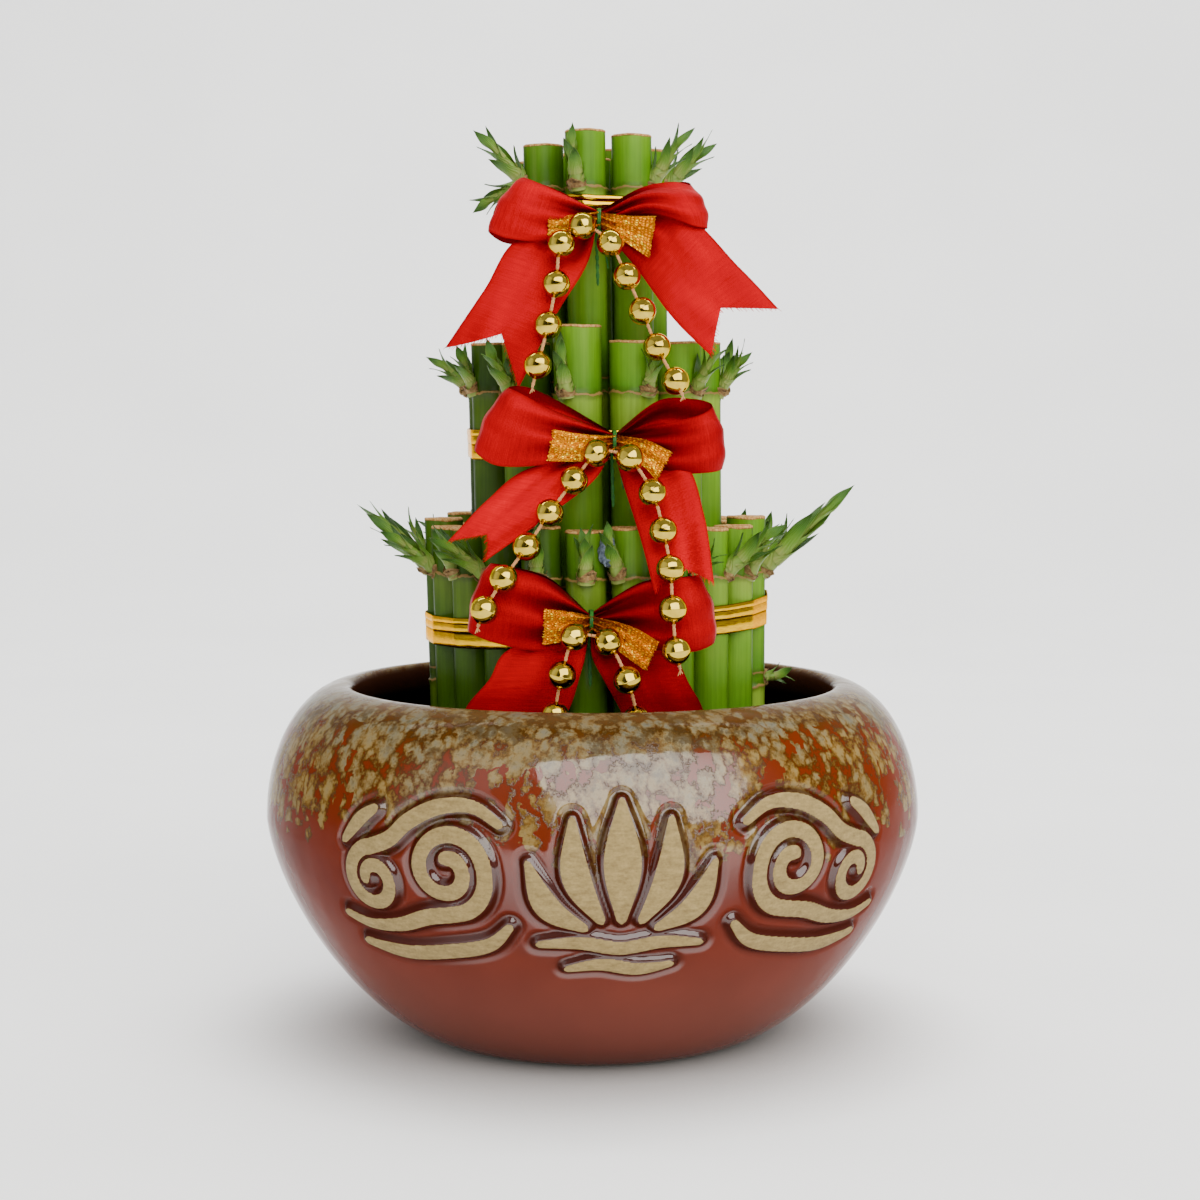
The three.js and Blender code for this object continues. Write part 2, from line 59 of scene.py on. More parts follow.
# Bowl: radii and heights of the outside, the mouth and the inside
BASE_RADIUS, BOWL_RADIUS, WIDEST_Z = 48.0, 100.0, 68.0
CREST_RADIUS, BOWL_HEIGHT = 76.0, 107.4
OPENING_RADIUS, WALL = 73.0, 9.0
LIP_WIDTH, LIP_DROP = 3, 3.9
FLOOR_RADIUS, FLOOR_Z, FOOT_RADIUS = 55.0, 12.0, 40.0
LOWER_POWER, UPPER_POWER = 1.5, 1.95

# Zone of the bowl that carries relief: angles from the front and heights
RELIEF_ANGLES = (-54.0, 66.0)
RELIEF_HEIGHTS = (26.0, 93.0)
RELIEF_LEVEL = 61.5
MOTIF_REACH = (36, 34)
FAR_AWAY = 99.0

# Round each stroke: how far away its slope, its groove and its pool of dark glaze end, and the width
# that each fades over. Across a stroke: place from edge to edge, and height above its face.
SLOPE, GROOVE, POOL = (1.8, 2.0), (3.4, 1.6), (2.8, 1.9)
STROKE_SINK = 0.12
STROKE_PROFILE = [(-1, -1.2), (-1, -0.25), (-0.84, -0.02), (-0.4, 0), (0, 0), (0.4, 0), (0.84, -0.02),
                  (1, -0.25), (1, -1.2)]

# Cloud scroll: a spiral is centre, first and last radius, first and last angle. Strokes are in
# millimetres on the bowl's surface, right and up from the middle of the motif.
CLOUD = [
    {"spiral": (-10, 5, 2.6, 13, 54, 630), "points": [(-2, -9.6), (8, -13.2), (19, -14.4), (29, -12)],
     "half": [2.2, 2.4, 2.4, 2.6, 1.3]},
    {"spiral": (14.5, 0, 2.4, 9.5, -30, 450),
     "points": [(8, 12.2), (2, 17.5), (-7, 22), (-17, 22.5), (-26, 17.5)], "half": [2, 2.3, 2.4, 2.5, 1.2]},
    {"points": [(-27, -10), (-19, -17), (-6, -20.5), (9, -22.6), (24, -21)],
     "half": [1.1, 2.4, 2.6, 2.5, 1.4]},
    {"points": [(13, 20.5), (19, 16.5), (25.5, 9.5)], "half": [1.3, 2.3, 1.2]},
]

# Lotus: petals that rise from a base, over two lines of water
LOTUS = [
    {"points": [(0, -9), (0, 8), (0, 26)], "half": [1.2, 5.6, 0.8]},
    {"points": [(-5, -9), (-12.5, 5), (-13.5, 21)], "half": [1.2, 4.2, 0.8]},
    {"points": [(5, -9), (12.5, 5), (13.5, 21)], "half": [1.2, 4.2, 0.8]},
    {"points": [(-9, -11), (-20, -4), (-26, 9)], "half": [1.2, 3.8, 0.8]},
    {"points": [(9, -11), (20, -4), (26, 9)], "half": [1.2, 3.8, 0.8]},
    {"points": [(-23, -16), (-11, -15.2), (0, -17), (11, -15.2), (23, -16)],
     "half": [1.1, 2.2, 2.3, 2.2, 1.1]},
    {"points": [(-15, -24.4), (-5, -22.6), (5, -24.4), (15, -22.8)], "half": [1.1, 2.2, 2.2, 1.1]},
]

# Motifs: angle from the front, strokes, and 1 or -1 for a mirrored copy
MOTIFS = [(-29.0, CLOUD, -1), (4.8, LOTUS, 1), (39.5, CLOUD, 1)]

# Canes. Heights of the cut and of the top node, and the length between nodes. Light and dimmest give
# the painted shade of a tier's canes: how light they are painted, and the darkest they may be.
CANE_BASE_Z = 12.35
TOWER_X, TOWER_LEAN = 3.0, -0.014
NODE_SPREAD, HEIGHT_SPREAD = 0.6, 1.6
TIERS = {
    "top": {"count": 7, "ring": 16.9, "radius": 6.0, "first": -5.0, "splay": 0.0, "cut": 269.5,
            "node": 256.6, "step": 60.0, "light": 0.9, "dimmest": 0.2},
    "middle": {"count": 12, "ring": 31.0, "radius": 7.1, "first": -8.3, "splay": 0.004, "cut": 212.0,
               "node": 195.5, "step": 60.0, "light": 0.82, "dimmest": 0.0},
    "outer": {"count": 22, "ring": 44.75, "radius": 5.85, "first": -3.6, "splay": 0.012, "cut": 157.0,
              "node": 142.3, "step": 52.0, "light": 0.56, "dimmest": 0.24},
}
CENTRE_CUT = 266.4
CUT_HEIGHTS = {
    "top": {1: 273.2, 2: 272.3, 3: 269.3, 6: 266, 7: 269.6},
    "middle": {1: 215.6, 2: 211.1, 3: 211, 10: 199, 11: 210.7},
    "outer": {1: 156.4, 2: 157.3, 4: 156.4, 5: 156.6, 6: 158.8, 18: 157.9, 22: 157.5},
}

# Side shoots: turn away from straight outwards, lift above level, length, and number of leaves
SHOOTS = {
    "top": {1: (-20, 72, 15, 4), 2: (38, 56, 19, 4), 3: (0, 44, 21, 5), 6: (16, -26, 15, 4),
            7: (-22, 48, 20, 4)},
    "middle": {1: (-20, 74, 14, 5), 2: (14, 72, 12, 4), 4: (2, 55, 14, 5), 10: (6, 42, 14, 4),
               11: (0, 70, 11, 4)},
    "outer": {1: (4, 80, 13, 4), 2: (-55, 70, 15, 4), 3: (40, 45, 10, 3), 4: (36, 42, 20, 4),
              6: (6, 43, 36, 7), 16: (0, 50, 14, 4), 18: (-2, 44, 26, 6), 19: (-10, 38, 18, 4),
              20: (-10, 66, 12, 4), 21: (-38, 38, 19, 5), 22: (8, 84, 13, 4)},
}
PLAIN_SHOOT = (58, 15, 3)
LOW_SHOOT_CANE = 6
LOW_NODES = {LOW_SHOOT_CANE: 107.5, 18: 108.5}
LOW_SHOOT = (14, 8, 7, 2)
SHOOT_RISE = 2.2
SHEATH_RADIUS, STEM_TIP_RADIUS = 3.6, 0.8
STEM_FOOT = -3.2
LEAF_WIDTH = 7.4

# Profile of a node: rise above its middle, and share of the ridge
NODE_MARKS = [(-2.6, 0.0), (-1.2, 0.3), (-0.45, 0.75), (0.0, 1.0), (0.3, 0.2), (0.8, -0.3), (2.2, -0.1)]
NO_RING = 9.0

# Profile of a cut end: drop below the cut, radius beyond the cane's, share of the ragged lip, dark edge
CUT_END = [(0.85, -0.03, 2.2, 1.0), (0.75, 0.03, 2.2, 0.7), (0.55, 0.06, 1.6, 0), (0.2, 0.02, 1, 0),
           (0, -0.3, 1, 0), (0.15, -1.0, 0.6, 0), (0.5, -2.0, 0.3, 0.1)]

# Place and half-size of a dried scrap between two outer canes
SCRAP, SCRAP_SIZE = (4.2, -51.6, 151.0), (2.3, 1.4, 4.0)

# Pebbles: number, inner and outer reach, and their height at the wall and rise away from it
PEBBLE_COUNT, PEBBLE_REACH = 460, (54, 86)
PEBBLE_WALL, PEBBLE_Z, PEBBLE_RISE = 89, 70.4, 4 / 35
GOLDEN_ANGLE = 2.39996

# Gold bands: height, slope along X, and the tier that each one ties. Strips: low, high, stand-off.
# Profile of a strip: share of its height, lift off the canes, place across it.
BANDS = {"top": (249.5, 0.0, "top"), "middle": (180.6, 0.0, "middle"), "bottom": (127.7, 0.054, "outer")}
BAND_STRIPS = [(-4.4, -0.1, 0.0), (0.0, 2.7, 0.12), (2.5, 4.4, 0.26)]
BAND_PROFILE = [(0, 0.0, -1), (0.04, 0.14, -0.9), (0.5, 0.2, 0), (0.96, 0.14, 0.9), (1, 0.0, 1),
                (1, -0.12, 1), (0, -0.12, -1), (0, 0.0, -1)]
BAND_GAP = 0.4
BAND_FOLD = [[(-1.6, -24.4, 246.2), (4.6, -24.5, 246.2)], [(-0.4, -24.9, 244.4), (3.4, -24.9, 244.4)],
             [(0.4, -25.0, 242.2), (1.0, -25.0, 242.2)]]

# Bows: each rib is the lower and the upper edge of the ribbon at one place along it, as x, y, z of
# the one and x, y, z of the other. Painted shades are the painted shade of the loops, the tails and the
# mesh.
BOWS = {
    "top": {
        "knot": (2.3, -28.6, 243.7, 1.7, -28.4, 248.4),
        "left loop": [
            (-13.7, -33, 239.7, -9, -31.5, 253.6), (-24.7, -32.5, 240.6, -18.3, -31.5, 257.6),
            (-30.4, -29, 242.9, -20.7, -29, 258.1), (-25.6, -25.6, 239.6, -17.6, -26, 257.5),
            (-13.8, -25.6, 238.7, -9.4, -26, 254.6)],
        "right loop": [
            (16.2, -33, 247.8, 13.9, -31.5, 255), (29.9, -33, 244, 23.2, -31.5, 256.8),
            (33.8, -29.5, 243.7, 28.5, -29, 256.1), (28.7, -25.8, 242.8, 26.3, -26, 257.3),
            (15.5, -25.8, 243.9, 14, -26, 254.9)],
        "left tail": [
            (-21, -31, 240.7, -1.2, -31, 233.8), (-31.4, -34, 225.5, -10.4, -38, 218.2),
            (-42.7, -35, 208.8, -21.1, -42.5, 197.2)],
        "right tail": [
            (11.9, -31, 233.2, 24.4, -30, 249.4), (23.4, -36, 217.4, 43, -33, 231.9),
            (34.3, -40, 206.4, 54.2, -35, 220)],
        "left mesh": [(-6, -32.9, 242.2, -6, -32.9, 247.2), (-12.8, -34, 241, -12.5, -34, 247)],
        "right mesh": [(9.5, -33.6, 239.4, 10, -33.2, 247), (16.5, -35, 234.7, 18.4, -35, 246.7)],
        "notches": (0.2, 0.18), "painted_shades": (0.12, 0.28, 0.22, 0.38, 0.0),
    },
    "middle": {
        "knot": (6.3, -44.6, 179.4, 6.6, -44.3, 184),
        "left loop": [
            (-11.4, -49.5, 175.5, -10.3, -48, 190.6), (-26.9, -49, 175, -20.5, -48, 195.7),
            (-33.6, -45.5, 179.4, -23.8, -45.5, 197.5), (-23.7, -42.2, 175.6, -17.8, -42.4, 197.2),
            (-10.7, -42.2, 177.4, -7.5, -42.4, 192.3)],
        "right loop": [
            (21.7, -49.5, 173.5, 20.6, -47, 186.9), (32.6, -49.5, 173, 30.9, -47.5, 189.5),
            (37.6, -46, 174.3, 34.4, -45, 192.3), (31.1, -42.4, 176.5, 29.4, -42.4, 194),
            (19.6, -42.4, 178.8, 19, -42.4, 193.5)],
        "left tail": [
            (-17.8, -47, 174.3, 1.7, -48, 172.1), (-30, -49, 165.2, -11.1, -52, 161.7),
            (-41.2, -50, 153.5, -30.2, -54, 148.1)],
        "right tail": [
            (8.6, -48, 170.9, 25.8, -48, 176.6), (13.9, -56, 154.2, 31.8, -56, 161.3),
            (17.5, -62.8, 140.2, 34.4, -62.5, 142.5)],
        "left mesh": [(-2, -50, 176.4, -2, -50, 184), (-12.8, -51, 176.4, -11.1, -51, 185.4)],
        "right mesh": [(14, -51, 175.4, 15.5, -51, 182.4), (18.5, -52, 170.8, 22.8, -52, 179)],
        "notches": (0.14, 0.12), "painted_shades": (0.32, 0.52, 0.0, 0.3, 0.0),
    },
    "bottom": {
        "knot": (0, -58, 129, -0.3, -57.6, 133.3),
        "left loop": [
            (-13.2, -61, 123.3, -11.5, -60, 142.8), (-27.4, -60.5, 125.3, -23.1, -59.5, 146.5),
            (-35.2, -56.5, 128.3, -28.9, -56.5, 147.7), (-26.2, -54.6, 125.5, -21.9, -54.8, 146.4),
            (-13.4, -54.6, 125, -11.4, -54.8, 143)],
        "right loop": [
            (15, -61.5, 124, 13.6, -60, 141.7), (28.3, -61, 122.8, 24.9, -60, 143.7),
            (35, -57, 125.2, 30.4, -56.5, 144.3), (28, -54.8, 125, 25.6, -54.8, 143.6),
            (15.1, -54.8, 126.1, 13.7, -54.8, 141.9)],
        "left tail": [
            (-22.7, -58.5, 123.7, -1.7, -59.5, 122.6), (-29.3, -57.5, 114.4, -3.4, -59.5, 115.8),
            (-36.6, -55, 104.9, -7.1, -58.5, 104.8), (-39.5, -50, 90.3, -17.7, -57, 86.6)],
        "right tail": [
            (0, -59.5, 121.5, 19.9, -58.5, 125.9), (3.4, -59.5, 114.6, 27.9, -57, 112.9),
            (8.6, -58.5, 104.8, 32, -55, 104.9), (16.6, -57, 86.6, 35.7, -50, 90.3)],
        "left mesh": [(-5, -62.8, 126.6, -5, -62.8, 134.2), (-13.7, -63.5, 125, -13.4, -63.5, 135.3)],
        "right mesh": [(9, -63.9, 122.2, 11, -63.9, 130.4), (15.2, -64.5, 117.8, 18.9, -64.5, 126)],
        "notches": (0.1, 0.1), "painted_shades": (0.45, 0.5, 0.05, 0.55, 0.45),
    },
}

# Satin ribbon: length of the flat cut, and number of pleats across it where it is gathered.
# Mesh ribbon: length of the flat cut. Fibres at a cut tail. Rows and columns of each kind of grid.
RIBBON_LENGTH, PLEATS = 240.0, 2.4
FRINGE_COUNT = 46
LOOP_GRID, TAIL_GRID, MESH_GRID = (80, 41), (70, 41), (64, 44)

# Beads: the left and the right side of each strand from the knot down, and the thread's two ends
STRANDS = {
    "top": {
        "left": [(-2.9, -37.3, 243.7), (-8.9, -39, 238.5), (-10.3, -41, 227), (-12.6, -43.5, 215.2),
                 (-15.4, -46.5, 203.7)],
        "right": [(5.3, -37.8, 238.8), (10, -40, 229.2), (14.4, -42.5, 219.2), (18.6, -45, 208.9),
                  (23.8, -48.5, 199.2)],
        "ends": [(-17.1, -47, 197.2), (25.8, -52.5, 195)],
    },
    "middle": {
        "left": [(1.2, -53.2, 178.7), (-5.1, -55, 171), (-11.9, -58, 162), (-18.3, -61, 152.6),
                 (-24.7, -64, 143.8), (-30, -66.5, 135.2)],
        "right": [(10.8, -55.8, 177.4), (17.1, -59.2, 167.7), (20.1, -62.3, 157.1), (22, -65.8, 146.7),
                  (22.6, -67.5, 135.4), (23.6, -68, 123.9)],
        "ends": [(-32, -66.5, 130.2), (24.8, -67.5, 118.4)],
    },
    "bottom": {
        "left": [(-5, -66.4, 127.6), (-8.4, -66.5, 116.8), (-10.4, -65.2, 105.3), (-10.9, -62.6, 93.5),
                 (-11, -60.5, 81.8)],
        "right": [(4.6, -66.6, 126.2), (10, -67, 115.5), (12.7, -65.2, 104.2), (12.9, -62.6, 92.4),
                  (13, -60.5, 81)],
        "ends": [(-11, -60, 76), (13, -60, 75)],
    },
}

# Thread: points along its path, and the length of a turn of its twist
THREAD_POINTS, THREAD_TWIST = 150, 2.6

# A bead: angles of its rings from hole to hole, and the height and width of its seam
BEAD_RINGS = [-90, -88, -81, -77, -70, -60, -48, -36, -24, -13, -5, -2.2, 0, 2.2, 5, 13, 24, 36, 48, 60,
              70, 77, 81, 88, 90]
COLLAR_ANGLE = 79
SEAM, SEAM_ANGLE = 0.075, 2.6

# Wire ties: the depth of each tie's tail, and the length of its two ends
TIE_DEPTHS = {"top": -25.1, "middle": -40.9, "bottom": -54.2}
TIE_TAILS = {-1: 17.0, 1: 12.0}

# Stage in metres. Lights: size, place, target and colour. Camera: place, and radians below level.
LIGHTS = {
    "key": ((1.8, 1.3), (0.43, -1.1, 0.94), (0, 0, 0.09), (1.0, 0.98, 0.95)),
    "fill": ((1.6, 1.8), (-1.5, -0.7, 0.9), (0, 0, 0.12), (0.96, 0.98, 1.0)),
    "top": ((2.0, 1.6), (0.25, 0.25, 1.8), (0, 0.05, 0.1), (1.0, 1.0, 1.0)),
    "wall": ((2.6, 0.5), (0, 0.7, 1.9), (0, 2.0, 0.5), (1.0, 1.0, 1.0)),
}
TOP_POWER, WALL_POWER, ROOM_STRENGTH = 33.0, 48.0, 0.55
CAMERA_PLACE, CAMERA_PITCH = (0.0023, -0.740, 0.1947), 0.084

LENGTH = {"unit": "LENGTH", "subtype": "DISTANCE"}


class BowlSettings(bpy.types.PropertyGroup):
    """Sizes of the bowl's surface."""

    groove: FloatProperty(
        name="Groove depth", description="Depth of the groove round each stroke of the relief",
        default=0.0007, min=0.0, max=0.003, **LENGTH)
    relief: FloatProperty(
        name="Relief height", description="How far the strokes stand out from the bowl",
        default=0.0010, min=0.0, max=0.002, **LENGTH)
    fine_step: FloatProperty(
        name="Relief step", description="Mesh step where the bowl carries relief",
        default=0.00052, min=0.0004, max=0.003, **LENGTH)
    speckle: FloatProperty(
        name="Speckle size", description="Usual width of a pale spot in the glaze",
        default=0.006, min=0.001, max=0.03, **LENGTH)


class PlantSettings(bpy.types.PropertyGroup):
    """Sizes of the canes, the shoots and the pebbles."""

    sides: IntProperty(
        name="Cane sides", description="Number of faces round a cane",
        default=28, min=8, max=64)
    node_ridge: FloatProperty(
        name="Node ridge", description="How far a node stands out from its cane",
        default=0.0004, min=0.0, max=0.0006, **LENGTH)
    pebble: FloatProperty(
        name="Pebble size", description="Usual diameter of a pebble",
        default=0.0085, min=0.003, max=0.02, **LENGTH)


class TrimSettings(bpy.types.PropertyGroup):
    """Sizes of the ribbons, beads and threads."""

    ribbon: FloatProperty(
        name="Ribbon width", description="Flat width of the satin ribbon",
        default=0.022, min=0.005, max=0.06, **LENGTH)
    mesh_width: FloatProperty(
        name="Mesh width", description="Flat width of the gold mesh ribbon",
        default=0.012, min=0.01, max=0.03, **LENGTH)
    bead: FloatProperty(
        name="Bead radius", description="Radius of a plated bead",
        default=0.004, min=0.001, max=0.01, **LENGTH)
    thread: FloatProperty(
        name="Thread diameter", description="Diameter of the twisted thread",
        default=0.0009, min=0.0004, max=0.003, **LENGTH)


class StageSettings(bpy.types.PropertyGroup):
    """Light and camera."""

    key_power: FloatProperty(
        name="Key light", description="Power of the large light at the front right, in watts",
        default=40.0, min=0.0, max=500.0, unit="POWER")
    fill_power: FloatProperty(
        name="Fill light", description="Power of the light at the front left, in watts",
        default=5.0, min=0.0, max=500.0, unit="POWER")
    lens: FloatProperty(
        name="Lens", description="Focal length of the camera for a 36 mm sensor, in millimetres",
        default=72.45, min=20.0, max=300.0)


def chance(index, stream):
    """A repeatable number from 0 to 1 for a pair of whole numbers."""
    wave = math.sin(index * 12.9898 + stream * 78.233) * 43758.5453
    return wave - math.floor(wave)


def smooth(x):
    """Eases from 0 to 1."""
    x = np.clip(x, 0.0, 1.0)
    return x * x * (3 - 2 * x)


def around(count):
    """Angles of so many equal steps round a circle."""
    return np.linspace(0, math.tau, count, endpoint=False)


def spline(points, count):
    """Points on a smooth curve through the given ones, evenly spread in its parameter."""
    points = np.asarray(points, float)
    ends = np.concatenate([2 * points[:1] - points[1:2], points, 2 * points[-1:] - points[-2:-1]])
    places = np.linspace(0, len(points) - 1, count)
    first = np.minimum(places.astype(int), len(points) - 2)
    t = (places - first).reshape((-1,) + (1,) * (points.ndim - 1))
    a, b, c, d = (ends[first + k] for k in range(4))
    return 0.5 * (2 * b + (c - a) * t + (2 * a - 5 * b + 4 * c - d) * t**2
                  + (3 * b - a - 3 * c + d) * t**3)


def lengths_along(points):
    """Distance from the first point to each point of a line."""
    steps = np.linalg.norm(np.diff(points, axis=0), axis=1)
    return np.concatenate([[0.0], np.cumsum(steps)])


def unit(vectors):
    """Vectors of length one, along the last axis."""
    return vectors / np.maximum(np.linalg.norm(vectors, axis=-1, keepdims=True), 1e-9)


class Shape:
    """Grids of points in millimetres that become one mesh."""

    def __init__(self):
        self.blocks = []
        self.faces = []
        self.slots = []
        self.count = 0

    def grid(self, points, slot=0, closed=False, **fields):
        """Adds rows of points joined by quads. The rows of a closed grid run round."""
        rows, columns = points.shape[:2]
        index = self.count + np.arange(rows * columns).reshape(rows, columns)
        if closed:
            index = np.hstack([index, index[:, :1]])
        corners = index[:-1, :-1], index[:-1, 1:], index[1:, 1:], index[1:, :-1]
        quads = np.stack(corners, -1).reshape(-1, 4)
        self.faces.extend(quads.tolist())
        self.slots.extend([slot] * len(quads))
        flat = {name: np.broadcast_to(value, (rows, columns)).ravel() for name, value in fields.items()}
        self.blocks.append((points.reshape(-1, 3), flat))
        self.count += rows * columns

    def make(self, name, *materials):
        """Makes the object, with each field as a value per point."""
        points = np.concatenate([block for block, _ in self.blocks]) * MM
        mesh = bpy.data.meshes.new(name)
        mesh.from_pydata(points.tolist(), [], self.faces)
        for material in materials:
            mesh.materials.append(material)
        mesh.polygons.foreach_set("material_index", self.slots)
        mesh.polygons.foreach_set("use_smooth", [True] * len(self.faces))
        for field in sorted({key for _, fields in self.blocks for key in fields}):
            values = [fields.get(field, np.zeros(len(block))) for block, fields in self.blocks]
            layer = mesh.attributes.new(field, "FLOAT", "POINT")
            layer.data.foreach_set("value", np.concatenate(values).astype(np.float32))
        mesh.update()
        return add_object(name, mesh)


def add_object(name, data):
    """Puts a mesh, a light or a camera in the scene."""
    made = bpy.data.objects.new(name, data)
    bpy.context.scene.collection.objects.link(made)
    return made


def attach(piece, slot, *nodes):
    """Makes a piece ride on the part and stand for its CAD nodes. The slot is not used."""
    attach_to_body(piece, BODY)
    if nodes:
        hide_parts(*nodes)
    return piece


class Value:
    """One output of a material's nodes, ready for sums, products and blends."""

    def __init__(self, paint, socket):
        self.paint = paint
        self.socket = socket

    def math(self, operation, other=0.0):
        """A step of arithmetic on this value."""
        return self.paint.node("Math", {0: self, 1: other}, operation=operation)

    def __add__(self, other):
        return self.math("ADD", other)

    def __sub__(self, other):
        return self.math("SUBTRACT", other)

    def __mul__(self, other):
        return self.math("MULTIPLY", other)

    def __abs__(self):
        return self.math("ABSOLUTE")

    def ease(self, low, high, start=0.0, end=1.0):
        """Eases from start to end as this value goes from low to high."""
        inputs = {"Value": self, "From Min": low, "From Max": high, "To Min": start, "To Max": end}
        return self.paint.node("MapRange", inputs, interpolation_type="SMOOTHSTEP")

    def ramp(self, *stops):
        """Colours at places from 0 to 1."""
        colour = self.paint.node("ValToRGB", {"Fac": self})
        band = colour.socket.node.color_ramp
        while len(band.elements) < len(stops):
            band.elements.new(0.5)
        for element, (place, shade) in zip(band.elements, stops):
            element.position = place
            element.color = (*shade, 1.0)
        return colour

    def bump(self, distance, strength=1.0, normal=None):
        """A normal from this height, in metres, on top of another normal."""
        inputs = {"Height": self, "Distance": distance, "Strength": strength}
        if normal is not None:
            inputs["Normal"] = normal
        return self.paint.node("Bump", inputs)


class Paint:
    """A Principled material put together node by node."""

    def __init__(self, name, **settings):
        self.material = bpy.data.materials.new(name)
        self.material.use_nodes = True
        self.tree = self.material.node_tree
        self.finish(**settings)

    def node(self, kind, inputs, output=0, **options):
        """Adds a node and returns one of its outputs."""
        node = self.tree.nodes.new("ShaderNode" + kind)
        for key, value in options.items():
            setattr(node, key, value)
        for key, value in inputs.items():
            self.feed(node.inputs[key], value)
        return Value(self, node.outputs[output])

    def feed(self, socket, value):
        """Links an output to a socket, or sets the socket's value."""
        if isinstance(value, Value):
            self.tree.links.new(value.socket, socket)
        elif socket.type == "RGBA":
            socket.default_value = (*value, 1.0)
        else:
            socket.default_value = value

    def place(self, scale=(1, 1, 1)):
        """Coordinates in metres on the object, scaled along each axis."""
        return self.node("Mapping", {"Vector": self.node("TexCoord", {}, "Object"), "Scale": scale})

    def field(self, name):
        """A value kept per point of the mesh."""
        return self.node("Attribute", {}, "Fac", attribute_name=name)

    def noise(self, scale, detail=3.0, roughness=0.5, stretch=(1, 1, 1), at=None):
        """Soft noise from 0 to 1, on the object or at other coordinates."""
        vector = self.place(stretch) if at is None else at
        return self.node("TexNoise", {"Vector": vector, "Scale": scale, "Detail": detail,
                                      "Roughness": roughness})

    def spread(self, scale, detail, roughness, size):
        """Noise that strays to both sides of zero."""
        return (self.noise(scale, detail, roughness) - 0.5) * size

    def cells(self, vector, scale, **inputs):
        """Distance from the middle of the nearest cell, and a number from 0 to 1 for that cell."""
        inputs = {"Vector": vector, "Scale": scale, **inputs}
        colour = self.node("TexVoronoi", inputs, "Color")
        return self.node("TexVoronoi", inputs, "Distance"), self.node("SeparateColor", {0: colour})

    def mix(self, share, first, second, blend="MIX"):
        """A blend of two colours."""
        return self.node("Mix", {0: share, 6: first, 7: second}, 2, data_type="RGBA", blend_type=blend)

    def grey(self, value):
        """A value as a colour."""
        return self.node("CombineColor", {0: value, 1: value, 2: value})

    def facing(self):
        """0 where the surface faces the viewer and 1 at its outline."""
        return self.node("LayerWeight", {"Blend": 0.5}, "Facing")

    def finish(self, **inputs):
        """Sets or links the surface's inputs and returns the material."""
        surface = self.tree.nodes["Principled BSDF"]
        for key, value in inputs.items():
            self.feed(surface.inputs[key.replace("_", " ")], value)
        return self.material


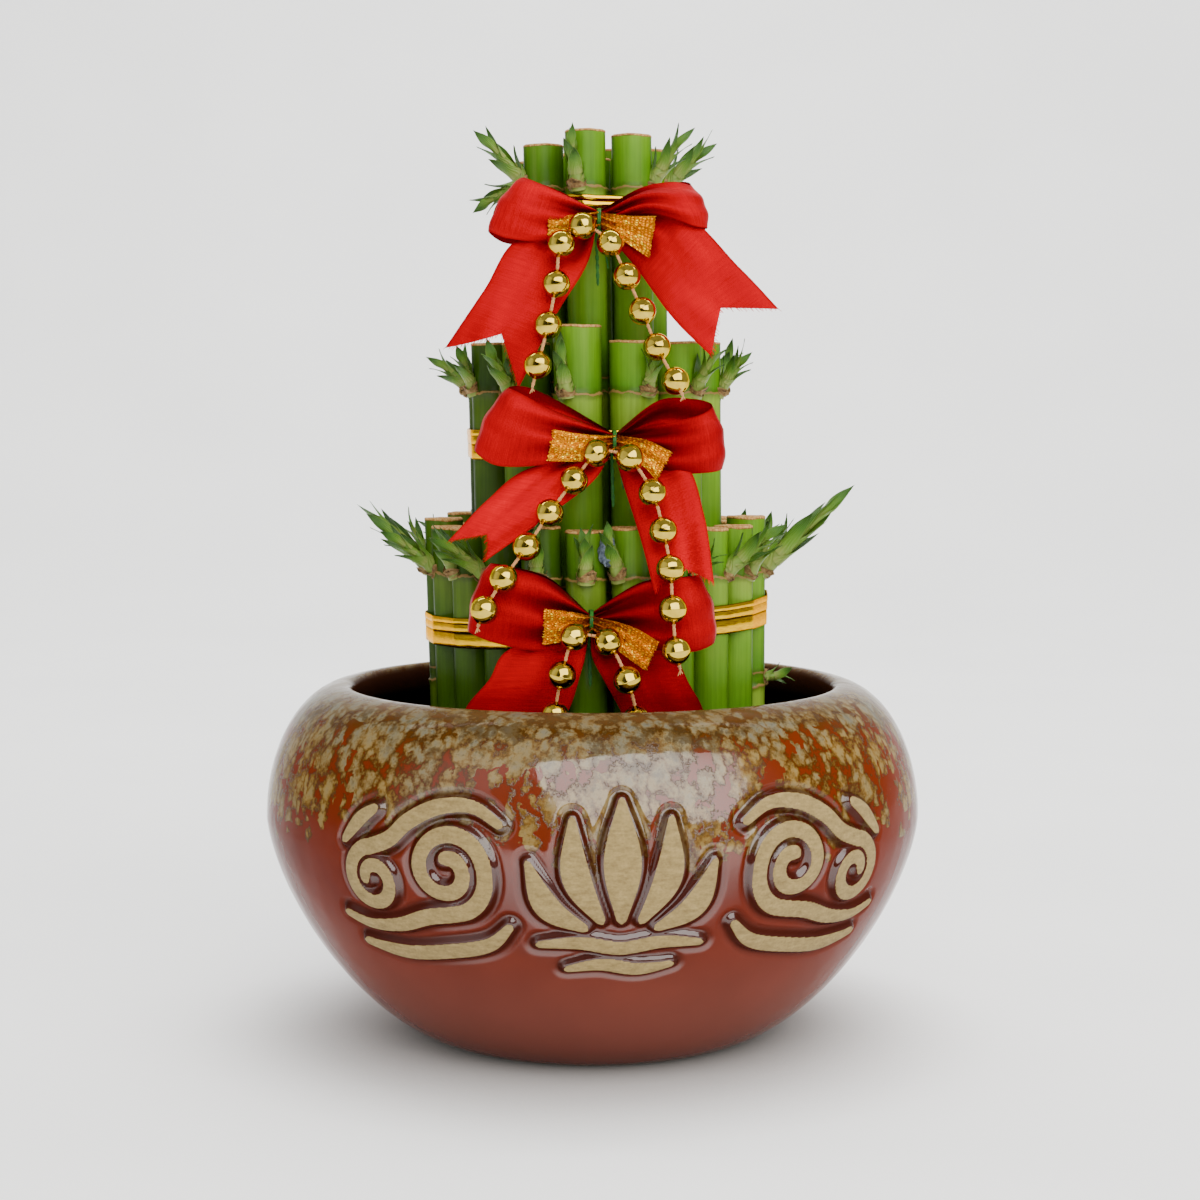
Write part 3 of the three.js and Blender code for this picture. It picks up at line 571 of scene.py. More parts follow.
def glaze_paint(speckle):
    """Oxblood glaze with pale flakes that crowd together over a brown ground towards the rim."""
    paint = Paint("glaze", IOR=1.5)
    height = paint.node("SeparateXYZ", {0: paint.place()}, "Z")
    level = height + paint.spread(17, 3, 0.6, 0.03)
    warp = paint.node("TexNoise", {"Vector": paint.place(), "Scale": 260.0, "Detail": 3.0}, 1)
    shift = paint.node("VectorMath", {0: warp, 1: (0.5, 0.5, 0.5)}, operation="SUBTRACT")
    moved = paint.node("VectorMath", {0: shift, 3: speckle * 0.75}, operation="SCALE")
    stretched = paint.node("VectorMath", {0: paint.place((1, 1, 0.62)), 1: moved}, operation="ADD")
    island = paint.noise(62, 3, 0.6, at=stretched).ease(0.52, 0.6, 1.0, 0.25)
    sparse = island.math("MAXIMUM", level.ease(0.092, 0.106))
    cover = level.ease(0.063, 0.086, 0.0, 0.95) * sparse
    large = flakes(paint, stretched, 1.0 / speckle, cover)
    small = flakes(paint, stretched, 1.8 / speckle, cover)
    crest = level.ease(0.088, 0.103)
    reach = large.math("MINIMUM", small) + paint.spread(900, 4, 0.7, 0.75) - crest * 0.06
    flake = reach.ease(0.5, 0.58, 1.0, 0.0)
    body = paint.noise(42, 4).ramp((0.3, (0.085, 0.012, 0.006)), (0.7, (0.125, 0.02, 0.011)))
    low = paint.mix(height.ease(0.012, 0.06, 0.7, 0.0), body, (0.165, 0.054, 0.04))
    warm = paint.mix(level.ease(0.06, 0.082), low, (0.115, 0.014, 0.002))
    brown = level.ease(0.088, 0.11) + paint.noise(30, 4, 0.6) * 0.7
    ground = paint.mix(brown.ease(0.58, 1.1), warm, (0.06, 0.02, 0.002))
    edged = paint.mix(reach.ease(0.54, 0.7, 0.8, 0.0), ground, (0.036, 0.017, 0.002))
    tan = reach.ramp((0.0, (0.18, 0.13, 0.055)), (0.25, (0.2, 0.13, 0.04)),
                     (0.42, (0.122, 0.06, 0.01)), (0.55, (0.06, 0.024, 0.001)))
    grey = reach.ramp((0.0, (0.105, 0.1, 0.074)), (0.25, (0.128, 0.107, 0.06)),
                      (0.42, (0.098, 0.058, 0.018)), (0.55, (0.045, 0.017, 0.003)))
    greying = level.ease(0.08, 0.11) + paint.noise(60, 2).ease(0.35, 0.65, -0.35, 0.35)
    mottle = paint.noise(620, 4, 0.7).ease(0.5, 0.68, 0.0, 0.6)
    mottled = paint.mix(mottle, paint.mix(greying, tan, grey), (0.04, 0.026, 0.006))
    both = paint.mix(flake, edged, mottled)
    dusk = paint.noise(150, 4, 0.7, at=stretched).ease(0.52, 0.62, 0.0, 0.7)
    dusky = paint.mix(dusk * crest, both, (0.04, 0.022, 0.006))
    rim = paint.mix(height.ease(0.1035, 0.107, 0.0, 0.3), dusky, (0.13, 0.078, 0.034))
    # Painted shade: the inside of the bowl is painted near black, darker further down, for the shade that
    # falls inside it
    painted_inside_shade = paint.mix(height.ease(0.084, 0.104), (0.004, 0.0012, 0.0006), (0.03, 0.01, 0.005))
    inside = paint.mix(paint.field("inside"), rim, painted_inside_shade)
    pooled = paint.mix(paint.field("pool") * 0.78, inside, (0.022, 0.004, 0.002))
    bare = paint.mix(height.ease(0.0012, 0.0024, 1.0, 0.0), pooled, (0.16, 0.085, 0.045))
    waves = paint.noise(46, 2).bump(0.0016, 0.3)
    peel = paint.noise(190, 2).bump(0.0004, 0.22, waves)
    shine = paint.facing().ease(0.08, 0.28, 0.75, 0.02)
    dimmed = paint.mix(paint.field("inside"), paint.grey(shine), (0.0, 0.0, 0.0))
    return paint.finish(Base_Color=bare, Roughness=paint.noise(130, 3).ease(0.3, 0.7, 0.05, 0.12),
                        Normal=flake.bump(0.0002, 0.3, peel), Specular_IOR_Level=dimmed)


def flakes(paint, vector, scale, cover):
    """Distance from the middle of the nearest cell, or more than 1 where its cell has no flake."""
    distance, pick = paint.cells(vector, scale)
    return distance + (cover - pick).ease(0.0, 0.04, 1.0, 0.0)


def clay_paint():
    """Bare buff clay with brush streaks."""
    paint = Paint("bare_clay")
    tone = paint.noise(1.0, 4, 0.65, (300, 300, 900)) * 0.7 + paint.noise(1300, 2) * 0.3
    colour = tone.ramp((0.3, (0.15, 0.1, 0.033)), (0.52, (0.24, 0.17, 0.06)), (0.72, (0.32, 0.235, 0.09)))
    return paint.finish(Base_Color=colour, Roughness=0.85, Normal=tone.bump(0.0004, 0.5))


def cane_paint():
    """Smooth green cane with fine lines along it and a ragged tan ring at each node."""
    paint = Paint("cane_skin", IOR=1.45)
    lines = paint.noise(900, 4, 0.65, (1, 1, 0.03))
    patches = paint.noise(55, 3)
    fade = paint.field("grow") * 0.5 + patches * 0.5
    fresh = fade.ramp((0.2, (0.046, 0.15, 0.002)), (0.55, (0.112, 0.25, 0.008)), (0.85, (0.22, 0.32, 0.032)))
    deep = fade.ramp((0.2, (0.008, 0.023, 0.0)), (0.55, (0.019, 0.044, 0.001)), (0.85, (0.044, 0.08, 0.003)))
    # Painted shade: the tone field blends the deep green of shaded canes into the fresh green of lit ones
    base = paint.mix(paint.field("tone"), deep, fresh)
    shaded = paint.mix(1.0, base, paint.grey(lines.ease(0.3, 0.7, 0.86, 1.1)), "MULTIPLY")
    broad = paint.noise(160, 2, 0.5, (1, 1, 0.12))
    pale = paint.mix(broad.ease(0.55, 0.8, 0.0, 0.35), shaded, (0.18, 0.25, 0.05))
    away = abs(paint.field("ring") + paint.spread(620, 3, 0.5, 1.5))
    darker = paint.mix(away.ease(0.4, 2.4, 0.5, 0.0), pale, (0.03, 0.042, 0.005))
    ringed = paint.mix(away.ease(0.22, 0.46, 0.9, 0.0), darker, (0.22, 0.125, 0.04))
    turned = paint.facing()
    # Painted shade: the cane is painted darker green towards its outline, for the shade between canes
    rounded = paint.mix(turned.ease(0.4, 1.0, 0.0, 0.6), ringed, (0.014, 0.036, 0.001))
    shine = turned.ease(0.08, 0.6, 0.2, 0.02)
    return paint.finish(Base_Color=rounded, Roughness=patches.ease(0.3, 0.7, 0.3, 0.42),
                        Normal=lines.bump(0.00018, 0.35), Specular_IOR_Level=shine)


def leaf_paint():
    """Green leaf, pale at its base and dark at its tip, with fine veins."""
    paint = Paint("leaf", IOR=1.45, Specular_IOR_Level=0.25)
    reach = paint.field("tip") + paint.spread(260, 3, 0.5, 0.5)
    colour = reach.ramp((0.0, (0.21, 0.25, 0.055)), (0.3, (0.105, 0.215, 0.02)),
                        (0.62, (0.046, 0.13, 0.014)), (1.0, (0.018, 0.062, 0.008)))
    side = paint.field("side")
    veins = (side * 26.0).math("SINE")
    lit = paint.mix(veins.ease(-1.0, 1.0, 0.0, 0.2), colour, (0.1, 0.18, 0.025))
    rimmed = paint.mix(abs(side).ease(0.86, 1.0, 0.0, 0.4), lit, (0.2, 0.26, 0.06))
    return paint.finish(Base_Color=rimmed, Roughness=0.42, Normal=veins.bump(0.00012, 0.5))


# Plain finishes: grain is the scale, detail and roughness of a noise, stops are its colours, bump
# is a depth and a strength. A tint is a field of the mesh, its share and its colour.
GRAINS = {
    "cane_cut": {
        "grain": (1500, 3), "stops": [(0.3, (0.2, 0.08, 0.02)), (0.5, (0.38, 0.2, 0.065)),
                                      (0.7, (0.5, 0.33, 0.125))],
        "bump": (0.0003, 0.6), "tint": ("edge", 1.0, (0.09, 0.045, 0.014)),
        "surface": {"Roughness": 0.8, "Specular_IOR_Level": 0.1}},
    "dried_scrap": {
        "grain": (900, 4, 0.65), "stops": [(0.32, (0.02, 0.03, 0.045)), (0.5, (0.075, 0.1, 0.135)),
                                           (0.68, (0.2, 0.24, 0.28))],
        "bump": (0.0008, 0.8), "surface": {"Roughness": 0.8}},
    "husk": {
        "grain": (700, 4, 0.65), "stops": [(0.32, (0.09, 0.04, 0.01)), (0.5, (0.22, 0.125, 0.038)),
                                           (0.68, (0.34, 0.23, 0.09))],
        "bump": (0.0004, 0.7), "surface": {"Roughness": 0.85}},
    "thread": {
        "grain": (2600, 3), "stops": [(0.3, (0.36, 0.13, 0.03)), (0.7, (0.52, 0.25, 0.07))],
        "bump": (0.0002, 0.6), "surface": {"Roughness": 0.7, "Sheen_Weight": 0.3}},
    "wire_tie": {
        "grain": (900, 3), "stops": [(0.3, (0.006, 0.06, 0.008)), (0.7, (0.02, 0.13, 0.016))],
        "bump": (0.0002, 0.4), "surface": {"Roughness": 0.4, "Specular_IOR_Level": 0.2}},
    "pebbles": {
        "grain": (330, 5, 0.6), "stops": [(0.3, (0.002, 0.0015, 0.001)), (0.7, (0.006, 0.005, 0.004))],
        "bump": (0.0004, 0.4), "tint": ("tone", 0.6, (0.014, 0.01, 0.006)),
        "surface": {"Roughness": 0.4, "Specular_IOR_Level": 0.2}},
}


def grain_paint(name):
    """A finish whose colour and bump follow one noise."""
    look = GRAINS[name]
    paint = Paint(name, **look["surface"])
    grain = paint.noise(*look["grain"])
    colour = grain.ramp(*look["stops"])
    if "tint" in look:
        field, share, tint = look["tint"]
        colour = paint.mix(paint.field(field) * share, colour, tint)
    return paint.finish(Base_Color=colour, Normal=grain.bump(*look["bump"]))


def foil_paint():
    """Metallised gold strip with faint lines along it."""
    paint = Paint("gold_foil", Metallic=1.0, Specular_Tint=(1.0, 0.6, 0.05))
    scuffs = paint.noise(380, 3, 0.5, (1, 1, 6))
    colour = scuffs.ramp((0.3, (0.5, 0.26, 0.0)), (0.7, (0.74, 0.45, 0.005)))
    lined = paint.mix(abs(paint.field("side")).ease(0.72, 0.96), colour, (0.05, 0.022, 0.002))
    return paint.finish(Base_Color=lined, Roughness=scuffs.ease(0.3, 0.7, 0.09, 0.2),
                        Normal=paint.noise(95, 2).bump(0.0016, 0.25))


def satin_paint(ribbon):
    """Red satin with a fine weave, soft creases along it and a firm woven edge."""
    paint = Paint("satin", Metallic=0.35, Specular_IOR_Level=0.15, Specular_Tint=(1.0, 0.02, 0.01))
    run = paint.field("run")
    side = paint.field("side")
    warp = (side * (math.pi * ribbon / 0.00042)).math("SINE")
    weft = (run * (math.tau / 0.42)).math("SINE")
    weave = (warp + weft) * 0.5
    crosswise = paint.node("CombineXYZ", {0: run * 3.4, 1: side * 1.1})
    lengthwise = paint.node("CombineXYZ", {0: run * 0.045, 1: side * 1.5})
    threads = paint.noise(1.0, 3, 0.7, at=crosswise)
    creases = paint.noise(0.8, 2, 0.4, at=lengthwise)
    # The tone is random slubs of the threads, with painted shade that darkens the dips of the creases
    tone = threads * 0.5 + creases * 0.5
    colour = tone.ramp((0.34, (0.28, 0.0, 0.004)), (0.66, (0.56, 0.0, 0.008)))
    lit = paint.mix(weave.ease(0.2, 1.0, 0.0, 0.14), colour, (0.7, 0.0, 0.01))
    hem = abs(side).ease(0.93, 0.97, 0.0, 0.4)
    hemmed = paint.mix(hem, lit, (0.18, 0.0, 0.0))
    # Painted shade: the shade field darkens the pleats near the knot and whole loops and tails of a bow
    shaded = paint.mix(paint.field("shade") * 0.88, hemmed, (0.03, 0.0, 0.001))
    height = weave * 0.5 + hem
    return paint.finish(Base_Color=shaded, Roughness=threads.ease(0.3, 0.7, 0.3, 0.4),
                        Normal=height.bump(0.0001, 0.5, creases.bump(0.003, 0.3)))


def glitter_paint():
    """Gold glitter mesh: metal flecks and threads at many angles, each fleck painted a random gold up to
    bright yellow painted glints.
    """
    paint = Paint("gold_mesh", Metallic=1.0, Specular_Tint=(1.0, 0.5, 0.02))
    weave = paint.node("CombineXYZ", {0: paint.field("run") * 0.9, 1: paint.field("side") * 7.0})
    distance, pick = paint.cells(weave, 1.0, Randomness=0.45)
    gap = distance.ease(0.28, 0.52)
    # Each fleck gets a random gold; the brightest yellows are painted glints
    colour = pick.ramp((0.0, (0.6, 0.17, 0.0)), (0.35, (0.9, 0.34, 0.0)), (0.7, (1.0, 0.5, 0.0)),
                       (1.0, (1.0, 0.8, 0.04)))
    dull = paint.mix(gap * 0.8, colour, (0.34, 0.09, 0.0))
    # Painted shade: the shade field darkens the mesh near the knot and all of the bottom bow's mesh
    shaded = paint.mix(paint.field("shade"), dull, (0.3, 0.055, 0.0))
    return paint.finish(Base_Color=shaded, Roughness=pick.ease(0.2, 0.8, 0.5, 0.3),
                        Normal=pick.bump(0.0005, 0.7, gap.bump(-0.0005, 0.8)))


def plate_paint():
    """Thin bright gold plating."""
    paint = Paint("gold_plate", Metallic=1.0, Specular_Tint=(1.0, 0.75, 0.3))
    haze = paint.noise(480, 3)
    colour = haze.ramp((0.3, (0.48, 0.33, 0.035)), (0.7, (0.6, 0.44, 0.06)))
    return paint.finish(Base_Color=colour, Roughness=haze.ease(0.3, 0.75, 0.05, 0.11),
                        Normal=haze.bump(0.0001, 0.12))


def paper_paint():
    """Plain pale studio paper that glows a little as painted light, with a painted shadow where it is near
    the bowl.
    """
    # Painted light: the paper glows through its emission
    paint = Paint("studio_paper", Emission_Strength=0.12, Specular_IOR_Level=0.1, Roughness=0.9)
    colour = paint.noise(6, 2).ramp((0.3, (0.86, 0.86, 0.85)), (0.7, (0.9, 0.9, 0.89)))
    # Painted shadow: the paper is darker where the bowl is near, in its colour and in its glow
    open_air = paint.node("AmbientOcclusion", {"Distance": 0.05}, "AO", samples=3)
    painted_contact_shadow = paint.mix(open_air.ease(0.05, 0.9, 0.8, 0.0), colour, (0.17, 0.15, 0.135))
    return paint.finish(Base_Color=painted_contact_shadow, Emission_Color=painted_contact_shadow)


def quarter(r0, z0, r1, z1, power, steps, bulge):
    """A quarter of a superellipse: 'low' leaves r0 level, and 'high' ends level."""
    angle = np.linspace(0, math.pi / 2, steps)
    rising = np.sin(angle) ** (2 / power)
    falling = 1 - np.cos(angle) ** (2 / power)
    across, up = (rising, falling) if bulge == "low" else (falling, rising)
    return np.stack([r0 + (r1 - r0) * across, z0 + (z1 - z0) * up], -1)


def bowl_outside():
    """The bowl's outer line from the base to the crest, with the distance along it."""
    lower = quarter(BASE_RADIUS, 0, BOWL_RADIUS, WIDEST_Z, LOWER_POWER, 120, "low")
    upper = quarter(BOWL_RADIUS, WIDEST_Z, CREST_RADIUS, BOWL_HEIGHT, UPPER_POWER, 90, "high")
    line = np.concatenate([lower, upper[1:]])
    return line, lengths_along(line)


def bowl_inside():
    """The bowl's line from the crest over the lip and down to the middle of its floor."""
    turn = np.linspace(0.25, math.pi / 2, 6)
    lip = np.stack([CREST_RADIUS - LIP_WIDTH * np.sin(turn),
                    BOWL_HEIGHT - LIP_DROP + LIP_DROP * np.cos(turn)], -1)
    widest, mouth = BOWL_RADIUS - WALL, OPENING_RADIUS + 1.5
    rise = quarter(widest, WIDEST_Z, mouth, BOWL_HEIGHT - WALL, UPPER_POWER, 10, "high")
    drop = quarter(FLOOR_RADIUS, FLOOR_Z, widest, WIDEST_Z, LOWER_POWER, 10, "low")
    throat = np.array([[OPENING_RADIUS, BOWL_HEIGHT - 7]])
    return np.concatenate([lip, throat, rise[::-1], drop[::-1][1:], [[0.0, FLOOR_Z]]])


def stroke_line(stroke, mirror):
    """Centre points and half-widths of one stroke of relief, with rounded ends."""
    points = []
    if "spiral" in stroke:
        u, w, r0, r1, a0, a1 = stroke["spiral"]
        turn = np.radians(np.linspace(a0, a1, 26))
        radius = np.linspace(r0, r1, 26)
        points = list(zip(u + radius * np.cos(turn), w + radius * np.sin(turn)))
    rough = spline(points + stroke["points"], 400)
    along = lengths_along(rough)
    count = max(14, int(along[-1] / 0.75))
    even = np.linspace(0, along[-1], count)
    line = np.stack([np.interp(even, along, rough[:, k]) for k in (0, 1)], -1) * [mirror, 1]
    half = np.maximum(spline(np.array(stroke["half"])[:, None], count)[:, 0], 0.6)
    end = np.minimum(even, even[-1] - even) / half
    return line, half * np.sqrt(np.clip(1 - (1 - np.clip(end, 0.02, 1)) ** 2, 0.02, 1))


def surface_point(line, along, angle, place, lift):
    """A point on the bowl: an angle in radians, a distance along its line, and a lift off it."""
    slope = np.gradient(line, along, axis=0)
    out = np.interp(place, along, slope[:, 1])
    down = -np.interp(place, along, slope[:, 0])
    size = np.hypot(out, down)
    radius = np.interp(place, along, line[:, 0]) + lift * out / size
    height = np.interp(place, along, line[:, 1]) + lift * down / size
    return np.stack([radius * np.sin(angle), -radius * np.cos(angle), height], -1)


def ring_points(heights, radii, angles, wobble=0.0):
    """Rows of points round a vertical axis."""
    heights = np.asarray(heights)[:, None] + wobble
    return np.stack([np.outer(radii, np.sin(angles)), -np.outer(radii, np.cos(angles)),
                     np.broadcast_to(heights, (len(radii), len(angles)))], -1)


def build_bowl(settings):
    """The glazed bowl, and the bare clay strokes of its relief."""
    line, along = bowl_outside()
    low, high, middle = np.interp([*RELIEF_HEIGHTS, RELIEF_LEVEL], line[:, 1], along)
    step = settings.fine_step / MM
    places = np.concatenate([
        np.linspace(0, low, 16)[:-1],
        np.linspace(low, high, int((high - low) / step))[:-1],
        np.linspace(high, along[-1], 20),
    ])
    first, last = RELIEF_ANGLES
    fine = np.linspace(first, last, int(math.radians(last - first) * BOWL_RADIUS / step))
    angles = np.radians(np.concatenate([fine, np.linspace(last, first + 360, 72)[1:-1]]))
    radius = np.interp(places, along, line[:, 0])
    top = settings.relief / MM
    away = np.full((len(places), len(angles)), FAR_AWAY)
    strokes = Shape()
    for centre, motif, mirror in MOTIFS:
        offset = (angles - math.radians(centre) + math.pi) % math.tau - math.pi
        u = offset[None, :] * radius[:, None]
        w = np.broadcast_to((places - middle)[:, None], u.shape)
        near = (np.abs(u) < MOTIF_REACH[0]) & (np.abs(w) < MOTIF_REACH[1])
        spots = np.stack([u[near], w[near]], -1)
        closest = np.full(len(spots), FAR_AWAY)
        for stroke in motif:
            points, half = stroke_line(stroke, mirror)
            for point, size in zip(points, half):
                closest = np.minimum(closest, np.hypot(*(spots - point).T) - size)
            add_stroke(strokes, points, half, math.radians(centre), middle, line, along, top)
        away[near] = np.minimum(away[near], closest)
    faded = lambda zone: smooth((zone[0] - away) / zone[1])
    slope = faded(SLOPE)
    level = (top - STROKE_SINK) * slope - settings.groove / MM * faded(GROOVE) * (1 - slope)
    outer = surface_point(line, along, angles[None, :], places[:, None], level)
    inner = bowl_inside()
    foot = ring_points([0.0, 0.0], [0.0, FOOT_RADIUS], angles)
    # The inside field marks where the glaze takes the painted shade of the bowl's inside
    dark = smooth((CREST_RADIUS - 0.6 - inner[:, 0]) / 2.0) * (inner[:, 0] < CREST_RADIUS)
    inside = np.concatenate([np.zeros(len(foot) + len(places)), np.maximum.accumulate(dark)])
    pool = np.pad(faded(POOL), ((len(foot), len(inner)), (0, 0)))
    shape = Shape()
    shape.grid(np.concatenate([foot, outer, ring_points(inner[:, 1], inner[:, 0], angles)]),
               closed=True, inside=inside[:, None], pool=pool)
    attach(shape.make("bowl_glazed", glaze_paint(settings.speckle)), "glaze", "bowl")
    attach(strokes.make("bowl_relief", clay_paint()), "glaze")


def add_stroke(shape, points, half, centre, middle, line, along, top):
    """One flat-faced stroke of relief that stands out from the bowl."""
    tangent = unit(np.gradient(points, axis=0))
    normal = np.stack([-tangent[:, 1], tangent[:, 0]], -1)
    across, lift = np.array(STROKE_PROFILE, float).T
    spots = points[:, None] + normal[:, None] * (across[None, :, None] * half[:, None, None])
    place = middle + spots[..., 1]
    angle = centre + spots[..., 0] / np.interp(place, along, line[:, 0])
    shape.grid(surface_point(line, along, angle, place, top + lift[None, :]))


def tier_canes(name):
    """Number, angle, cut height, nodes and shoots of each cane in a tier."""
    tier = TIERS[name]
    for number in range(1, tier["count"] + 1):
        spread = [2 * chance(number, tier["count"] + stream) - 1 for stream in range(3)]
        cut = CUT_HEIGHTS[name].get(number, tier["cut"] + HEIGHT_SPREAD * spread[0])
        node = tier["node"] + NODE_SPREAD * spread[2]
        shoots = [(node, SHOOTS[name].get(number, (15 * spread[1], *PLAIN_SHOOT)))]
        second = node - tier["step"] + 4 * chance(number, tier["count"] + 7) - 2
        if name == "outer":
            second = LOW_NODES.get(number, second)
            if number == LOW_SHOOT_CANE:
                shoots.append((second, LOW_SHOOT))
        angle = tier["first"] + 360 * (number - 1) / tier["count"]
        yield number, angle, cut, [node] + lower_nodes(tier, second), shoots


def lower_nodes(tier, top):
    """Heights of the nodes from a given one down to the foot of a cane."""
    return list(np.arange(top, CANE_BASE_Z + 8, -tier["step"]))


def cane_surface(shape, tier, nodes, cut, seed, tone, settings):
    """The skin and the cut end of one upright cane on its own axis."""
    ridge = settings.node_ridge / MM
    radius = tier["radius"]
    rows = [(CANE_BASE_Z, radius, -NO_RING)]
    for node in nodes[::-1]:
        while node - rows[-1][0] > 14:
            rows.append((rows[-1][0] + 9, radius * 0.995, -NO_RING))
        rows.extend((node + rise, radius + ridge * out, rise) for rise, out in NODE_MARKS)
    while cut - rows[-1][0] > 12:
        rows.append((rows[-1][0] + 7, radius * 0.995, NO_RING))
    rows.extend((cut - drop, radius, NO_RING) for drop in (2.2, 0.7))
    heights, radii, rings = (np.array(column) for column in zip(*rows))
    turn = around(settings.sides)
    ragged = 0.28 * np.sin(3 * turn + seed) + 0.2 * np.sin(7 * turn + 2.3 * seed)
    wobble = np.where(np.abs(rings)[:, None] < 1.3, ragged[None, :], 0)
    grow = np.zeros(len(rows))
    for place, height in enumerate(heights):
        below = max([CANE_BASE_Z] + [node for node in nodes if node <= height + 0.3])
        grow[place] = min(1.0, (height - below) / tier["step"] * (1.9 if below == nodes[0] else 1.0))
    skin = ring_points(heights, radii, turn, wobble)
    shape.grid(skin, 0, True, ring=rings[:, None], grow=grow[:, None], tone=tone)
    lip = 0.06 * np.sin(2 * turn + seed) + 0.04 * np.sin(5 * turn + seed) + 0.03 * np.sin(9 * turn - seed)
    drop, wider, share, rim = np.array([*CUT_END, (0.5, -radius, 0, 0.2)]).T
    end = ring_points(cut - drop, radius + wider, turn, share[:, None] * lip[None, :])
    shape.grid(end, 1, True, edge=rim[:, None])


def leaf_grid(start, stem, length, width, flare, ragged=0.0, seed=0.0):
    """A blade that wraps its stem at its base and opens out to a point, facing +Y along +Z."""
    t = np.linspace(0, 1, 12)[:, None]
    side = np.linspace(-1, 1, 9)[None, :]
    blade = np.where(t < 0.3, 0.9 + 0.1 * t / 0.3, 1 - (np.clip(t - 0.3, 0, 1) / 0.7) ** 1.6)
    half = stem * 2.2 + (width / 2 * blade - stem * 2.2) * smooth(t / 0.34)
    bend = stem + 0.15 + 3.4 * smooth(t / 0.7) ** 2
    turn = side * np.minimum(2.5, half / bend)
    keel = 0.35 * (1 - np.abs(side)) * smooth(t / 0.4)
    out = 0.75 * stem + flare * length * t**2.4
    edge = 1 - ragged * (0.5 + 0.5 * np.sin(9 * side + seed)) * t
    return np.stack([
        bend * np.sin(turn),
        out - bend * (1 - np.cos(turn)) + 0.25 * stem,
        start + length * t * (1 - 0.1 * t) * edge - 0.25 * keel,
    ], -1), {"tip": t, "side": side}


def turned_about(points, angle):
    """Points turned about the Z axis."""
    cos, sin = math.cos(angle), math.sin(angle)
    x, y, z = points[..., 0], points[..., 1], points[..., 2]
    return np.stack([x * cos - y * sin, x * sin + y * cos, z], -1)


def add_shoot(shape, tier, angle, node, shoot, seed):
    """A side shoot: a short stem wrapped in two rows of leaves, with a torn husk at its foot."""
    turn, lift, length, leaves = shoot
    heading = math.radians(angle + turn)
    lift = math.radians(lift)
    out = np.array([math.sin(heading), -math.cos(heading), 0.0])
    along = out * math.cos(lift) + np.array([0, 0, math.sin(lift)])
    side = np.cross([0, 0, 1.0], out)
    basis = np.stack([side, np.cross(along, side), along])
    foot = out * (tier["radius"] + 0.4) + np.array([0, 0, node + SHOOT_RISE])
    placed = lambda points: points @ basis + foot
    stem = 0.58 * length
    thick = min(SHEATH_RADIUS, 2 + 0.06 * length)
    radius_at = lambda z: thick - (thick - STEM_TIP_RADIUS) * (z - STEM_FOOT) / (stem - STEM_FOOT)
    z = np.linspace(STEM_FOOT, stem, 9)
    core = ring_points(z, radius_at(z) * 0.92, around(12))
    shape.grid(placed(core), 2, True, tip=np.linspace(0, 0.4, 9)[:, None], side=0.0)
    for i in range(leaves + 2):
        start = stem * i / (leaves + 1) * 0.94
        size = 0.42 * length + 3.0 + 1.6 * (chance(i, seed) - 0.5)
        width = LEAF_WIDTH * (0.42 + length / 66) * (1 - 0.04 * i)
        flare = 0.44 - length / 100 - 0.02 * i
        blade, fields = leaf_grid(start, radius_at(start), size, width, flare, 0.07, seed + i)
        blade = turned_about(blade, math.pi * i + 0.5 * (i % 3) + 0.3 * (chance(i, seed + 3) - 0.5))
        shape.grid(placed(blade), 2, **fields)
    for i in range(3):
        size = 2.6 + 1.2 * chance(i, seed + 5)
        husk, _ = leaf_grid(-2.6 + 0.5 * i, thick * 0.95, size, 6.0, 0.05, 0.5, seed + i)
        shape.grid(placed(turned_about(husk, 2.2 * i + seed)), 3)


def cane_shade_and_tone(tier, x, seed):
    """Painted shade: canes are painted darker low down and at the left, where less light falls, and lighter
    at the right; each also gets a random tone.
    """
    slope = 110 if x > -5 else 38
    tone = tier["light"] + x / slope + 0.25 * (chance(seed, 9) - 0.5)
    return float(np.clip(tone, tier["dimmest"], 1.0))


def build_cane(name, tier, angle, ring, cut, nodes, shoots, seed, materials, settings):
    """One cane with its shoots, standing where its CAD node stands."""
    shape = Shape()
    out = np.array([math.sin(math.radians(angle)), -math.cos(math.radians(angle))])
    centre = np.array([TOWER_X, 0.0]) + ring * out
    lean = np.array([TOWER_LEAN, 0.0]) + tier["splay"] * out
    cane_surface(shape, tier, nodes, cut, seed, cane_shade_and_tone(tier, centre[0], seed), settings)
    for node, shoot in shoots:
        add_shoot(shape, tier, angle, node, shoot, seed)
    for points, _ in shape.blocks:
        points[:, :2] += centre + lean * (points[:, 2:] - CANE_BASE_Z)
    attach(shape.make(name + "_grown", *materials), "cane", name)


def build_canes(settings):
    """Every cane of the three tiers, and the one in the middle."""
    materials = [cane_paint(), grain_paint("cane_cut"), leaf_paint(), grain_paint("husk")]
    for place, (tier_name, tier) in enumerate(TIERS.items()):
        for number, angle, cut, nodes, shoots in tier_canes(tier_name):
            build_cane(f"cane_{tier_name}_{number}", tier, angle, tier["ring"], cut, nodes, shoots,
                       40 * place + number, materials, settings)
    tier = TIERS["top"]
    build_cane("cane_top_centre", tier, 0, 0, CENTRE_CUT, lower_nodes(tier, tier["node"]), [], 99,
               materials, settings)


def build_scrap():
    """A crumpled dried scrap caught between two outer canes."""
    lat = np.linspace(-1.5, 1.5, 16)
    ball = ring_points(np.sin(lat), np.cos(lat), around(22))
    turn = np.arctan2(ball[..., 1], ball[..., 0])
    crumple = 1 + 0.16 * np.sin(3 * turn + 4 * ball[..., 2]) + 0.12 * np.sin(7 * turn - 5 * ball[..., 2])
    shape = Shape()
    shape.grid(ball * crumple[..., None] * SCRAP_SIZE + SCRAP, 0, True)
    attach(shape.make("dried_scrap", grain_paint("dried_scrap")), "cane")


